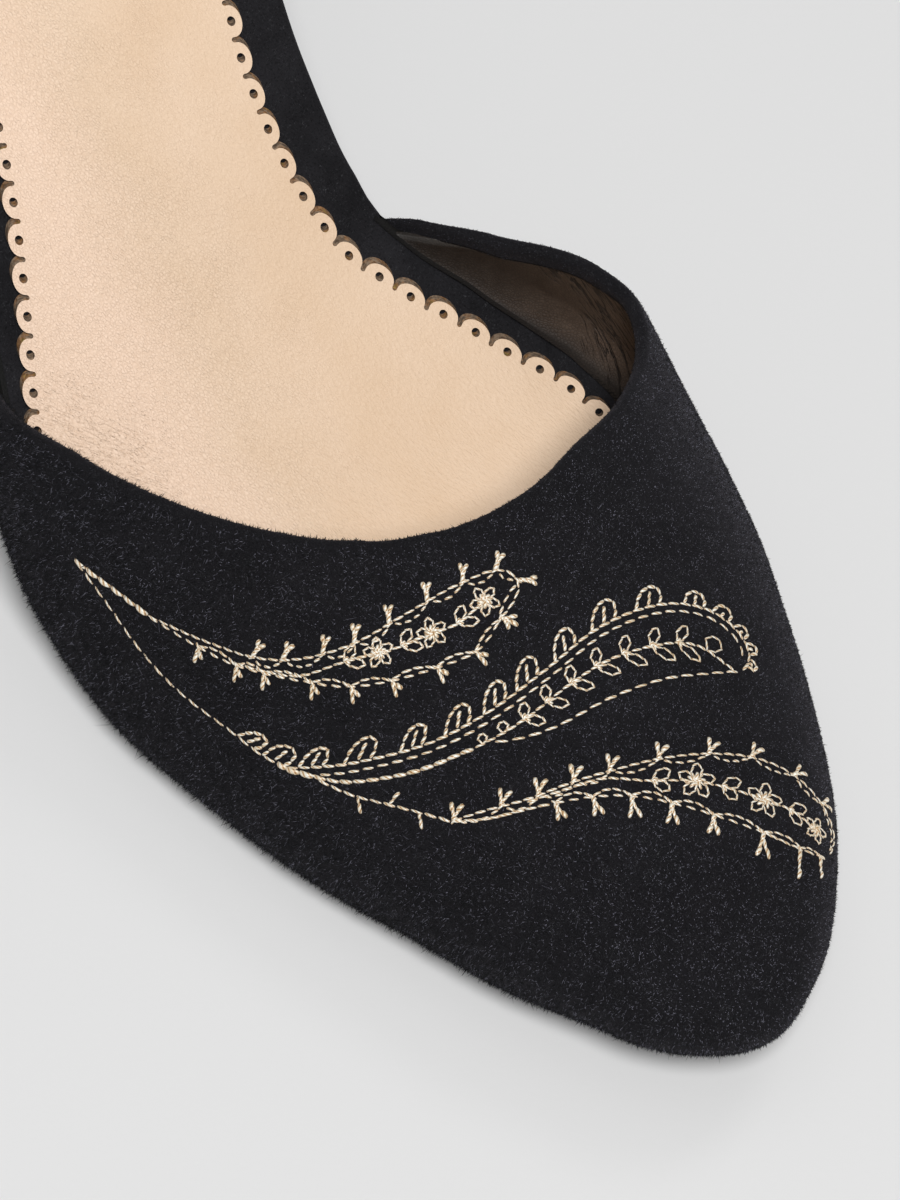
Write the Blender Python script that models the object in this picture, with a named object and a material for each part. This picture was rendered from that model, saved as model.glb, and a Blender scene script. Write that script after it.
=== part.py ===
"""D'Orsay pump for the right foot, with a covered block heel.

The vamp and the heel counter are two hollow walls cut from one last, with both waists open between
them. They stand on a wrapped footbed board with a leather sock, an outsole, a heel and a top piece.
Sizes are in millimetres until a mesh is made. X runs to the toe, Y to the inner (medial) side and Z
up. The origin is on the floor under the tread of the forefoot.
"""

import math

import bmesh
import bpy
import numpy as np

MM = 0.001

TIP = 86.0              # toe tip ahead of the tread
BACK = -152.0           # back of the heel cup
LENGTH = TIP - BACK
SOLE = 2.5              # outsole thickness
BOARD = 3.0             # footbed board with its wrapping
SOCK = 1.2              # sock on the board
WALL = 2.0              # vamp and counter, outer and lining together
THIN = 0.6              # skived down to this where a wall ends on the board's rim
SKIVE = 13.0            # length over which it is skived
FLUSH = 5.0             # length over which the open waist's rim comes out to the outline
GAP = 0.3               # between pieces that lie on each other
EDGE_GAP = 0.6          # between the board's rim and the walls around it
SOLE_END = -99.0        # the outsole stops at the heel breast
TOP_PIECE = 5.0         # rubber under the heel
LEAN = 7.0              # the cup leans forward this far at LEAN_HEIGHT
LEAN_HEIGHT = 45.0
LEAN_START = -90.0      # and the lean grows from here to LEAN_FULL
LEAN_FULL = -150.0
SIDE_POWER = 2.1        # roundness of a section's sides
RIDGE_BEND = 1.5        # how late a section swings over to its ridge
VAMP_EYE = (0.0, -6.0)      # the vamp's stations fan out from here
COUNTER_EYE = (-112.0, 0.0)
STUB = 3.2              # height left of a wall where its topline meets the board
VAMP_STATIONS = 64
VAMP_ROWS = 15
ROW_CLOSING = 1.25      # rows draw closer towards the feather
COUNTER_STATIONS = 36
COUNTER_ROWS = 9
FINE = 60               # samples along a profile before it is divided evenly
BOTTOM_X = np.concatenate([np.linspace(BACK, -12, 24), [-8, -5, -1, 11, 24], np.linspace(31, TIP, 9)])
ROUND_END = (0.06, 0.5, 1.6, 3.6)   # extra stations where an end rounds off


def table(columns, rows):
    """The rows as one array for each named column."""
    return dict(zip(columns, np.array(rows, dtype=float).T))


# Underside of the outsole: flat under the tread, toe spring ahead of it, the arch rising to the heel.
GROUND = table(("x", "z"), (
    (-152, 68.0), (-135, 65.5), (-118, 62.0), (-105, 57.5), (-92, 51.0), (-78, 42.5), (-64, 33.5),
    (-50, 24.5), (-36, 15.3), (-24, 8.3), (-16, 4.2), (-10, 1.9), (-5, 0.6), (-1, 0.0), (24, 0.0),
    (45, 0.9), (65, 3.4), (86, 7.5),
))

# Widest outline of the last, as half widths either side of the middle line.
OUTLINE = table(("behind", "lateral", "medial"), (
    (0, 0.0, 0.0), (3, 8.1, 7.3), (8, 13.6, 13.4), (15, 17.9, 18.9), (25, 24.2, 24.8),
    (38, 30.4, 30.0), (52, 37.3, 34.3), (68, 43.4, 38.2), (85, 48.3, 40.0), (96, 49.7, 39.3),
    (104, 50.2, 36.2), (110, 49.7, 31.9), (117, 48.1, 26.0), (123, 45.6, 19.9), (129, 42.6, 15.8),
    (137, 38.8, 14.4), (146, 35.2, 14.8), (156, 32.4, 16.2), (168, 30.2, 19.6), (182, 29.2, 24.6),
    (196, 29.0, 28.0), (208, 29.0, 29.0), (220, 26.5, 26.8), (230, 20.3, 20.5), (236, 10.2, 10.2),
    (238, 0.0, 0.0),
))

# Height of the ridge above the widest level, from the toe over the instep to the top of the heel.
RIDGE = table(("behind", "height"), (
    (0, 0.0), (4, 4.9), (10, 8.3), (20, 12.2), (36, 16.7), (51, 20.8), (66, 26.3), (81, 32.5),
    (96, 38.0), (111, 43.0), (126, 47.0), (145, 54.0), (165, 62.0), (190, 68.0), (238, 68.0),
))

# Sections: height of the widest level above the feather, how far the wall tucks in below it, the
# sideways place of the ridge and the power that rounds the section over its top.
SECTION = table(("behind", "bulge", "tuck", "ridge_y", "top_power"), (
    (0, 6.0, 2.8, 0.0, 2.0), (30, 6.8, 3.0, 0.0, 2.2), (80, 7.5, 3.2, 1.5, 1.5),
    (98, 7.5, 3.2, 0.9, 2.0), (112, 7.5, 2.4, 0.3, 1.9), (126, 7.5, 0.8, 0.0, 1.6),
    (140, 8.0, 0.0, 0.0, 1.6), (160, 9.0, 0.0, 0.0, 1.7), (190, 14.0, 1.8, 0.0, 1.8),
    (238, 14.0, 2.2, 0.0, 1.8),
))

# Topline of the vamp, as seen from its eye: azimuth from the toe (medial positive) and elevation.
VAMP_TOP = table(("azimuth", "elevation"), (
    (-148, -5.5), (-140, 1.0), (-130, 12.1), (-120, 28.0), (-105, 43.6), (-90, 53.6), (-70, 61.0),
    (-45, 65.6), (-15, 66.8), (10, 64.7), (30, 61.2), (50, 55.4), (65, 49.6), (80, 38.0), (90, 29.2),
    (100, 22.0), (110, 16.8), (120, 12.0), (130, 5.7), (140, -1.2), (148, -6.0),
))

# Topline of the counter: share of the way from straight back to its front end, and height.
COUNTER_TOP = table(("share", "height"), (
    (0, 53.0), (0.2, 52.0), (0.4, 47.5), (0.6, 37.0), (0.78, 23.0), (0.91, 10.5), (1.0, 3.2),
))
COUNTER_ENDS = {"medial": 138.0, "lateral": 132.0}      # degrees off straight back

# Each waist is open between these: the end of the vamp and the end of the counter.
WAIST = table(("medial", "lateral"), ((-41.0, -50.0), (-87.0, -81.0)))

# Rims measured inwards from the feather outline, for each flat piece of the bottom.
RIMS = table(("behind", "sock_lateral", "sock_medial"), (
    (0, 4.2, 4.2), (80, 3.8, 3.4), (90, 3.8, 3.6), (96, 3.8, 4.4), (106, 3.8, 4.8), (116, 3.8, 5.8),
    (127, 3.8, 5.8), (137, 4.2, 5.8), (150, 4.0, 5.7), (165, 4.6, 5.6), (180, 5.2, 5.4),
    (238, 4.6, 4.6),
))
OUTSOLE_RIM = 1.2

# Heel: share of the way up and share of the flare from the top piece out to the seat.
HEEL_FLARE = table(("rise", "flare"), (
    (0.0, 0.0), (0.15, 0.01), (0.35, 0.06), (0.55, 0.18), (0.72, 0.38), (0.86, 0.66), (1.0, 1.0),
))
HEEL_FOOT_BACK = -146.0
HEEL_FOOT_BREAST = -117.0
HEEL_FOOT_HALF_WIDTH = 14.5
HEEL_SEAT_RIM = 0.8         # the seat stays this far inside the feather


def smooth(xs, ys):
    """A monotone cubic through the rows, flat where they turn."""
    steps = np.diff(xs)
    slopes = np.diff(ys) / steps
    tangents = np.concatenate([slopes[:1], np.zeros(len(xs) - 2), slopes[-1:]])
    for i in range(1, len(xs) - 1):
        if slopes[i - 1] * slopes[i] > 0:
            before = 2 * steps[i] + steps[i - 1]
            after = steps[i] + 2 * steps[i - 1]
            tangents[i] = (before + after) / (before / slopes[i - 1] + after / slopes[i])

    def curve(x):
        x = np.clip(np.asarray(x, dtype=float), xs[0], xs[-1])
        k = np.clip(np.searchsorted(xs, x, side="right") - 1, 0, len(steps) - 1)
        t = (x - xs[k]) / steps[k]
        ends = ys[k] * (1 + 2 * t) * (1 - t) ** 2 + ys[k + 1] * t * t * (3 - 2 * t)
        return ends + steps[k] * t * (1 - t) * (tangents[k] * (1 - t) - tangents[k + 1] * t)

    return curve


def turn(behind):
    """Angle round the plan, which keeps the toe and the back of the heel round."""
    return np.arccos(np.clip(1 - 2 * np.asarray(behind, dtype=float) / LENGTH, -1, 1))


ground = smooth(GROUND["x"], GROUND["z"])
SIDES = {side: smooth(turn(OUTLINE["behind"]), OUTLINE[side]) for side in ("lateral", "medial")}
RIDGE_CURVE = smooth(turn(RIDGE["behind"]), RIDGE["height"])
SECTION_CURVES = {column: smooth(SECTION["behind"], SECTION[column]) for column in SECTION}
RIM_CURVES = {column: smooth(RIMS["behind"], RIMS[column]) for column in RIMS}


def half_width(side, x):
    return SIDES[side](turn(TIP - x))


def ridge(x):
    return RIDGE_CURVE(turn(TIP - x))


def section(column, x):
    return SECTION_CURVES[column](TIP - x)


def rim(column, x):
    return RIM_CURVES[column](TIP - x)


def feather(x):
    """Level where the walls and the board stand on the outsole."""
    return ground(x) + SOLE + GAP


def past_waist(side, x):
    """How far x lies beyond the open waist, within the vamp or the counter."""
    front, back = WAIST[side]
    return np.maximum(x - front, back - x)


def wall(side, x):
    """Thickness of the walls."""
    return THIN + (WALL - THIN) * np.clip(past_waist(side, x) / SKIVE, 0, 1)


def board_inset(side, x):
    """The board's rim keeps clear of the walls, and is flush with the outline at the waist."""
    return (wall(side, x) + EDGE_GAP) * np.clip(1 + past_waist(side, x) / FLUSH, 0.1, 1)


def inside_last(x, y, level):
    """True within the last, where level is the height above its widest line."""
    rise = np.clip(level, 0, None)
    share = np.clip((LEAN_START - x) / (LEAN_START - LEAN_FULL), 0, 1)
    x = x - LEAN * share * (rise / LEAN_HEIGHT) ** 2
    within = (x > BACK) & (x < TIP)
    x = np.clip(x, BACK + 1e-6, TIP - 1e-6)
    share_up = np.clip(rise / (ridge(x) + 1e-6), 0, 1)
    lateral = half_width("lateral", x)
    medial = half_width("medial", x)
    middle = (medial - lateral) / 2
    centre = middle + (section("ridge_y", x) - middle) * share_up ** RIDGE_BEND
    closing = (1 - share_up ** section("top_power", x)) ** (1 / SIDE_POWER)
    return within & (rise < ridge(x)) & (np.abs(y - centre) < (lateral + medial) / 2 * closing)


def cast(eye, azimuth, elevation):
    """Points where rays from the eye leave the last, in widest-line coordinates."""
    azimuth, elevation = np.broadcast_arrays(azimuth, elevation)
    way = np.stack([np.cos(azimuth) * np.cos(elevation), np.sin(azimuth) * np.cos(elevation),
                    np.sin(elevation)], axis=-1)
    start = np.array([eye[0], eye[1], 0.0])
    near = np.zeros(azimuth.shape)
    far = np.full(azimuth.shape, LENGTH)
    for _ in range(34):
        middle = (near + far) / 2
        point = start + way * middle[..., None]
        within = inside_last(point[..., 0], point[..., 1], point[..., 2])
        near = np.where(within, middle, near)
        far = np.where(within, far, middle)
    return start + way * near[..., None]


def skin(eye, azimuth, elevation):
    """Points and outward normals of the last above its widest line."""
    step = math.radians(0.5)
    point = cast(eye, azimuth, elevation)
    around = cast(eye, azimuth + step, elevation) - cast(eye, azimuth - step, elevation)
    up = cast(eye, azimuth, elevation + step) - cast(eye, azimuth, np.maximum(elevation - step, 0))
    normal = np.cross(around, up)
    return point, normal / np.linalg.norm(normal, axis=-1, keepdims=True)


def profile(eye, azimuth, top):
    """Fine points and normals down one station, from the topline to the feather."""
    rays = np.linspace(max(top, 0.0), 0.0, FINE)
    point, normal = skin(eye, np.full(FINE, azimuth), rays)
    widest = point[-1]
    outward = normal[-1] * (1, 1, 0)
    outward /= np.linalg.norm(outward)
    bulge = section("bulge", widest[0])
    reach = math.hypot(widest[0] - eye[0], widest[1] - eye[1])
    start = min(1 - STUB / bulge, reach * math.tan(max(-top, 0.0)) / bulge)
    drop = np.linspace(start, 1.0, FINE // 3)[:, None]
    tucked = widest - outward * section("tuck", widest[0]) * drop ** 2 - (0, 0, bulge) * drop
    if top < 0:
        return tucked, np.repeat(outward[None], len(drop), axis=0)
    return (np.concatenate([point, tucked[1:]]),
            np.concatenate([normal, np.repeat(outward[None], len(drop) - 1, axis=0)]))


def raised(point):
    """From widest-line coordinates to the real height over the floor."""
    real = point.copy()
    real[..., 2] += feather(point[..., 0]) + section("bulge", point[..., 0])
    return real


def even_rows(point, normal, first, count):
    """The profile divided evenly along its length, starting a little below the topline."""
    along = np.concatenate([[0], np.cumsum(np.linalg.norm(np.diff(point, axis=0), axis=1))])
    places = along[-1] - (along[-1] - first) * np.linspace(1, 0, count) ** ROW_CLOSING
    rows = [np.stack([np.interp(places, along, each[:, k]) for k in range(3)], axis=1)
            for each in (point, normal)]
    return rows[0], rows[1] / np.linalg.norm(rows[1], axis=1, keepdims=True)


def wall_ring(eye, azimuth, top, count):
    """Closed section of a wall: up the outside, over the folded topline, down the lining."""
    point, normal = profile(eye, azimuth, top)
    thick = float(wall("medial" if point[-1, 1] > 0 else "lateral", point[-1, 0]))
    fold = thick / 2
    outer, out = even_rows(point, normal, fold, count)
    inner = outer - out * thick
    inner[-1, 2] = outer[-1, 2] + section("bulge", outer[-1, 0]) - section("bulge", inner[-1, 0])
    up = outer[0] - outer[1]
    up /= np.linalg.norm(up)
    centre = outer[0] - out[0] * fold
    arc = [centre + fold * (math.cos(a) * out[0] + math.sin(a) * up)
           for a in np.radians((45, 90, 135))]
    return raised(np.concatenate([outer[::-1], arc, inner]))


def elevation_of(eye, azimuth, height):
    """Elevation where the last stands this high above the feather."""
    rays = np.radians(np.linspace(0, 80, 161))
    point = cast(eye, np.full_like(rays, azimuth), rays)
    heights = point[:, 2] + section("bulge", point[:, 0])
    if height > heights[0]:
        return float(np.interp(height, heights, rays))
    reach = math.hypot(point[0, 0] - eye[0], point[0, 1] - eye[1])
    return -math.atan((heights[0] - height) / reach)


def wall_azimuths(eye, first, last, count):
    """Azimuths evenly spaced along the widest outline."""
    fine = np.linspace(first, last, 721)
    rim = cast(eye, fine, np.zeros_like(fine))
    along = np.concatenate([[0], np.cumsum(np.linalg.norm(np.diff(rim, axis=0), axis=1))])
    return np.interp(np.linspace(0, along[-1], count), along, fine)


def rim_points(side, inset):
    """The feather outline moved inwards by inset(side, x), as x and distance from the middle."""
    angle = np.linspace(0, math.pi, 1500)
    x = TIP - LENGTH * (1 - np.cos(angle)) / 2
    y = SIDES[side](angle)
    along_x = np.gradient(x, angle)
    along_y = np.gradient(y, angle)
    size = np.hypot(along_x, along_y)
    move = section("tuck", x) + inset(side, x)
    x, y = x + along_y / size * -move, y + along_x / size * move
    keep = y > 0
    return x[keep][::-1], y[keep][::-1]


def bottom_stations(inset, first=BACK):
    """Shared stations from heel to toe, closer together round each end, with the rim at each."""
    lateral = rim_points("lateral", inset)
    medial = rim_points("medial", inset)
    back = max(lateral[0][0], medial[0][0])
    front = min(lateral[0][-1], medial[0][-1])
    round_back = back + np.array(ROUND_END) if back > first else np.array([first])
    shared = BOTTOM_X[(BOTTOM_X > round_back[-1] + 1) & (BOTTOM_X < front - ROUND_END[-1] - 1)]
    x = np.concatenate([round_back, shared, front - np.array(ROUND_END)[::-1]])
    return x, np.interp(x, *lateral), np.interp(x, *medial)


def plate_rings(stations, floor, thick, edge):
    """Sections of a flat piece that follows the bottom, with its rim rounded by edge."""
    rings = []
    for x, lateral, medial in zip(*stations):
        bevel = min(edge, 0.4 * min(lateral, medial))
        low = floor(x)
        across = np.linspace(-lateral + bevel, medial - bevel, 6)
        lower = [(x, y, low) for y in across]
        upper = [(x, y, low + thick) for y in across[::-1]]
        rise = thick * 0.3
        medial_rim = [(x, medial, low + rise), (x, medial, low + thick - rise)]
        lateral_rim = [(x, -lateral, low + thick - rise), (x, -lateral, low + rise)]
        rings.append(np.array(lower + medial_rim + upper + lateral_rim))
    return rings


def loft(rings):
    """One closed body through equal rings of points, with a face over each end."""
    mesh = bmesh.new()
    ring = [mesh.verts.new(point * MM) for point in rings[0]]
    edges = [mesh.edges.new(pair) for pair in zip(ring, ring[1:] + ring[:1])]
    bmesh.ops.contextual_create(mesh, geom=edges)
    for points in rings[1:]:
        made = bmesh.ops.extrude_edge_only(mesh, edges=edges)["geom"]
        fresh = {item for item in made if isinstance(item, bmesh.types.BMVert)}
        ring = [next(edge.other_vert(vert) for edge in vert.link_edges
                     if edge.other_vert(vert) in fresh) for vert in ring]
        for vert, point in zip(ring, points):
            vert.co = point * MM
        edges = [mesh.edges.get(pair) for pair in zip(ring, ring[1:] + ring[:1])]
    bmesh.ops.contextual_create(mesh, geom=edges)
    bmesh.ops.recalc_face_normals(mesh, faces=mesh.faces)
    return mesh


def material(name, color, roughness):
    made = bpy.data.materials.new(name)
    made.use_nodes = True
    shader = made.node_tree.nodes["Principled BSDF"]
    shader.inputs["Base Color"].default_value = (*color, 1.0)
    shader.inputs["Roughness"].default_value = roughness
    shader.inputs["Metallic"].default_value = 0.0
    return made


def place(name, rings, finish):
    mesh = bpy.data.meshes.new(name)
    form = loft(rings)
    form.to_mesh(mesh)
    form.free()
    mesh.shade_smooth()
    mesh.set_sharp_from_angle(angle=math.radians(40))
    mesh.materials.append(finish)
    bpy.context.scene.collection.objects.link(bpy.data.objects.new(name, mesh))


def make_vamp(finish):
    azimuths = np.radians(VAMP_TOP["azimuth"])
    stations = wall_azimuths(VAMP_EYE, azimuths[0], azimuths[-1], VAMP_STATIONS)
    tops = np.radians(smooth(azimuths, VAMP_TOP["elevation"])(stations))
    place("vamp", [wall_ring(VAMP_EYE, azimuth, top, VAMP_ROWS)
                   for azimuth, top in zip(stations, tops)], finish)


def make_counter(finish):
    ends = [math.radians(COUNTER_ENDS[side]) for side in ("medial", "lateral")]
    stations = wall_azimuths(COUNTER_EYE, math.pi - ends[0], math.pi + ends[1], COUNTER_STATIONS)
    share = np.abs(stations - math.pi) / np.where(stations < math.pi, *ends)
    heights = smooth(COUNTER_TOP["share"], COUNTER_TOP["height"])(share)
    tops = [elevation_of(COUNTER_EYE, azimuth, height) for azimuth, height in zip(stations, heights)]
    place("counter", [wall_ring(COUNTER_EYE, azimuth, top, COUNTER_ROWS)
                      for azimuth, top in zip(stations, tops)], finish)


def make_board(finish):
    place("board", plate_rings(bottom_stations(board_inset), feather, BOARD, 0.8), finish)


def make_sock(finish):
    def inset(side, x):
        return rim("sock_" + side, x)

    def floor(x):
        return feather(x) + BOARD + GAP

    place("sock", plate_rings(bottom_stations(inset), floor, SOCK, 0.2), finish)


def make_outsole(finish):
    def inset(side, x):
        return np.full_like(x, OUTSOLE_RIM)

    place("outsole", plate_rings(bottom_stations(inset, SOLE_END), ground, SOLE, 0.7), finish)


def heel_foot(share):
    """Half outline of the top piece: from its breast corner, share 0, round to its back, share 1."""
    angle = math.pi / 2 * share
    x = HEEL_FOOT_BREAST + (HEEL_FOOT_BACK - HEEL_FOOT_BREAST) * math.sin(angle) ** 1.1
    return x, HEEL_FOOT_HALF_WIDTH * math.cos(angle) ** 0.55


def heel_columns():
    """Paired lateral and medial points of the foot and of the seat, from the breast to the back."""
    def inset(side, x):
        return np.full_like(x, HEEL_SEAT_RIM)

    lateral = rim_points("lateral", inset)
    medial = rim_points("medial", inset)
    back = max(lateral[0][0], medial[0][0])
    breast = SOLE_END - GAP
    columns = []
    for share in np.sin(np.linspace(0, math.radians(86), 15)):
        x = breast + (back - breast) * math.sin(math.pi / 2 * share) ** 1.1
        columns.append((heel_foot(share), x, float(np.interp(x, *lateral)),
                        float(np.interp(x, *medial))))
    return columns


def make_heel(finish):
    bottom = TOP_PIECE + GAP
    rings = []
    for (foot_x, foot_y), seat_x, lateral, medial in heel_columns():
        sides = []
        for foot_side, seat_side in ((-foot_y, -lateral), (foot_y, medial)):
            seat_z = float(ground(seat_x)) + SOLE
            sides.append([(foot_x + (seat_x - foot_x) * flare,
                           foot_side + (seat_side - foot_side) * flare,
                           bottom + (seat_z - bottom) * rise)
                          for rise, flare in zip(HEEL_FLARE["rise"], HEEL_FLARE["flare"])])
        rings.append(np.array(sides[0] + sides[1][::-1]))
    place("heel", rings, finish)


def make_top_piece(finish):
    rings = [np.array([(x, -y, 0.0), (x, -y, TOP_PIECE), (x, y, TOP_PIECE), (x, y, 0.0)])
             for (x, y), *_ in heel_columns()]
    place("top_piece", rings, finish)


for thing in list(bpy.data.objects):
    bpy.data.objects.remove(thing, do_unlink=True)

suede = material("black suede", (0.016, 0.016, 0.018), 0.95)
wrapping = material("smooth black suede", (0.014, 0.013, 0.014), 0.9)
tan_leather = material("tan sock leather", (0.81, 0.61, 0.45), 0.6)
sole_rubber = material("black sole unit", (0.02, 0.018, 0.017), 0.6)
heel_rubber = material("black heel rubber", (0.02, 0.02, 0.02), 0.8)

make_outsole(sole_rubber)
make_heel(suede)
make_top_piece(heel_rubber)
make_board(wrapping)
make_sock(tan_leather)
make_vamp(suede)
make_counter(suede)
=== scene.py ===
"""Looks of the d'Orsay pump: suede uppers with their nap, leather lining, wrapped footbed, scalloped
sock, thread embroidery, covered heel, rubber sole and top piece, with floor, light and camera.

Sizes are in millimetres until a mesh is made. X runs to the toe, Y to the inner (medial) side and Z
up, as in the frame.
"""

import math

import bmesh
import bpy
import numpy as np
from mathutils import Matrix, Vector, kdtree


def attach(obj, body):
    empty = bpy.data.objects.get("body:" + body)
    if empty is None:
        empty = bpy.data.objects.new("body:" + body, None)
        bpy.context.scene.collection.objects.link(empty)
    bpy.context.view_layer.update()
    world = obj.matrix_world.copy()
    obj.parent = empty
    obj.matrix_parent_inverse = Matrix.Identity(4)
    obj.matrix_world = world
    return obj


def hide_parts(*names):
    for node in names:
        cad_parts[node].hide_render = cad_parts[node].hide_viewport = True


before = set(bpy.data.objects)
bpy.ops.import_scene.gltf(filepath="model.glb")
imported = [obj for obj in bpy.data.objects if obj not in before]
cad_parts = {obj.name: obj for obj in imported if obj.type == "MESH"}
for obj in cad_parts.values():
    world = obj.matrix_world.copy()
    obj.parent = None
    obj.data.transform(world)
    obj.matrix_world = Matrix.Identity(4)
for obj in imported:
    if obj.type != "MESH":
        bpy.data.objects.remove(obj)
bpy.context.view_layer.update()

MM = 0.001

# ---- the last, as in the part's source ------------------------------------------------------------

TIP = 86.0              # toe tip ahead of the tread
BACK = -152.0           # back of the heel cup
LENGTH = TIP - BACK
SOLE = 2.5              # outsole thickness
BOARD = 3.0             # footbed board with its wrapping
WALL = 2.0              # vamp and counter, outer and lining together
THIN = 0.6              # skived down to this where a wall ends on the board's rim
SKIVE = 13.0            # length over which it is skived
FLUSH = 5.0             # length over which the open waist's rim comes out to the outline
GAP = 0.3               # between pieces that lie on each other
EDGE_GAP = 0.6          # between the board's rim and the walls around it
SOLE_END = -99.0        # the outsole stops at the heel breast
TOP_PIECE = 5.0         # rubber under the heel
LEAN = 7.0              # the cup leans forward this far at LEAN_HEIGHT
LEAN_HEIGHT = 45.0
LEAN_START = -90.0
LEAN_FULL = -150.0
SIDE_POWER = 2.1        # roundness of a section's sides
RIDGE_BEND = 1.5        # how late a section swings over to its ridge
VAMP_EYE = (0.0, -6.0)      # the vamp's stations fan out from here
COUNTER_EYE = (-112.0, 0.0)
STUB = 0.8              # height left of a wall where its topline runs out beside the board
FINE = 60               # samples along a profile before it is divided
HALVINGS = 30           # steps of a search for the last's surface
FAN_SAMPLES = 721       # rays tried when a wall's stations are spaced out
RIM_SAMPLES = 3000      # points of the outline before it is moved inwards
SPAN_SAMPLES = 24       # points along each span of a smooth curve
OPEN_SHARE = 0.1        # share of the board's clearance left at the open waist
TINY = 1e-6


def table(columns, rows):
    """The rows as one array for each named column."""
    return dict(zip(columns, np.array(rows, dtype=float).T))


GROUND = table(("x", "z"), (
    (-152, 68.0), (-135, 65.5), (-118, 62.0), (-105, 57.5), (-92, 51.0), (-78, 42.5), (-64, 33.5),
    (-50, 24.5), (-36, 15.3), (-24, 8.3), (-16, 4.2), (-10, 1.9), (-5, 0.6), (-1, 0.0), (24, 0.0),
    (45, 0.9), (65, 3.4), (86, 7.5),
))
OUTLINE = table(("behind", "lateral", "medial"), (
    (0, 0.0, 0.0), (3, 8.1, 7.3), (8, 13.6, 13.4), (15, 17.9, 18.9), (25, 24.2, 24.8),
    (38, 30.4, 30.0), (52, 37.3, 34.3), (68, 43.4, 38.2), (85, 48.3, 40.0), (96, 49.7, 39.3),
    (104, 50.2, 36.2), (110, 49.7, 31.9), (117, 48.1, 26.0), (123, 45.6, 19.9), (129, 42.6, 15.8),
    (137, 38.8, 14.4), (146, 35.2, 14.8), (156, 32.4, 16.2), (168, 30.2, 19.6), (182, 29.2, 24.6),
    (196, 29.0, 28.0), (208, 29.0, 29.0), (220, 26.5, 26.8), (230, 20.3, 20.5), (236, 10.2, 10.2),
    (238, 0.0, 0.0),
))
RIDGE = table(("behind", "height"), (
    (0, 0.0), (4, 4.9), (10, 8.3), (20, 12.2), (36, 16.7), (51, 20.8), (66, 26.3), (81, 32.5),
    (96, 38.0), (111, 43.0), (126, 47.0), (145, 54.0), (165, 62.0), (190, 68.0), (238, 68.0),
))
# Height of the widest line over the feather, how far the wall is tucked in below it, where the ridge
# lies and how flat the top is.
SECTION = table(("behind", "bulge", "tuck", "ridge_y", "top_power"), (
    (0, 6.0, 2.8, 0.0, 2.0), (30, 6.8, 3.0, 0.0, 2.2), (80, 7.5, 3.2, 1.5, 1.5),
    (98, 7.5, 3.2, 0.9, 2.0), (112, 7.5, 2.4, 0.3, 1.9), (126, 7.5, 0.8, 0.0, 1.6),
    (140, 8.0, 0.0, 0.0, 1.6), (160, 9.0, 0.0, 0.0, 1.7), (190, 14.0, 1.8, 0.0, 1.8),
    (238, 14.0, 2.2, 0.0, 1.8),
))
VAMP_TOP = table(("azimuth", "elevation"), (
    (-148, -5.5), (-140, 1.0), (-130, 12.1), (-120, 28.0), (-105, 43.6), (-90, 53.6), (-70, 61.0),
    (-45, 65.6), (-15, 66.8), (10, 64.7), (30, 61.2), (50, 55.4), (65, 49.6), (80, 38.0), (90, 29.2),
    (100, 22.0), (110, 16.8), (120, 12.0), (130, 5.7), (140, -1.2), (148, -6.0),
))
COUNTER_TOP = table(("share", "height"), (
    (0, 53.0), (0.2, 52.0), (0.4, 47.5), (0.6, 37.0), (0.78, 23.0), (0.91, 10.5), (1.0, 3.2),
))
COUNTER_ENDS = {"medial": 138.0, "lateral": 132.0}      # degrees off straight back
WAIST = table(("medial", "lateral"), ((-41.0, -50.0), (-87.0, -81.0)))      # open from here to here
HEEL_FLARE = table(("rise", "flare"), (
    (0.0, 0.0), (0.15, 0.01), (0.35, 0.06), (0.55, 0.18), (0.72, 0.38), (0.86, 0.66), (1.0, 1.0),
))
OUTSOLE_RIM = 1.2       # the outsole keeps this far inside the feather outline
HEEL_FOOT_BACK = -146.0
HEEL_FOOT_BREAST = -117.0
HEEL_FOOT_HALF_WIDTH = 14.5
HEEL_SEAT_RIM = 0.8     # and the top of the heel this far


def smooth(xs, ys):
    """A monotone cubic through the rows, flat where they turn."""
    steps = np.diff(xs)
    slopes = np.diff(ys) / steps
    tangents = np.concatenate([slopes[:1], np.zeros(len(xs) - 2), slopes[-1:]])
    for i in range(1, len(xs) - 1):
        if slopes[i - 1] * slopes[i] > 0:
            before = 2 * steps[i] + steps[i - 1]
            after = steps[i] + 2 * steps[i - 1]
            tangents[i] = (before + after) / (before / slopes[i - 1] + after / slopes[i])

    def curve(x):
        x = np.clip(np.asarray(x, dtype=float), xs[0], xs[-1])
        k = np.clip(np.searchsorted(xs, x, side="right") - 1, 0, len(steps) - 1)
        t = (x - xs[k]) / steps[k]
        ends = ys[k] * (1 + 2 * t) * (1 - t) ** 2 + ys[k + 1] * t * t * (3 - 2 * t)
        return ends + steps[k] * t * (1 - t) * (tangents[k] * (1 - t) - tangents[k + 1] * t)

    return curve


def turn(behind):
    """Angle round the plan, which keeps the toe and the back of the heel round."""
    return np.arccos(np.clip(1 - 2 * np.asarray(behind, dtype=float) / LENGTH, -1, 1))


ground = smooth(GROUND["x"], GROUND["z"])
SIDES = {side: smooth(turn(OUTLINE["behind"]), OUTLINE[side]) for side in ("lateral", "medial")}
RIDGE_CURVE = smooth(turn(RIDGE["behind"]), RIDGE["height"])
SECTION_CURVES = {column: smooth(SECTION["behind"], SECTION[column]) for column in SECTION}


def half_width(side, x):
    """From the middle line to the widest line on this side."""
    return SIDES[side](turn(TIP - x))


def ridge(x):
    """Height of the last's ridge above its widest line."""
    return RIDGE_CURVE(turn(TIP - x))


def section(column, x):
    """A value of the section at x, by the name of its column."""
    return SECTION_CURVES[column](TIP - x)


def feather(x):
    """Level where the walls and the board stand on the outsole."""
    return ground(x) + SOLE + GAP


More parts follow.
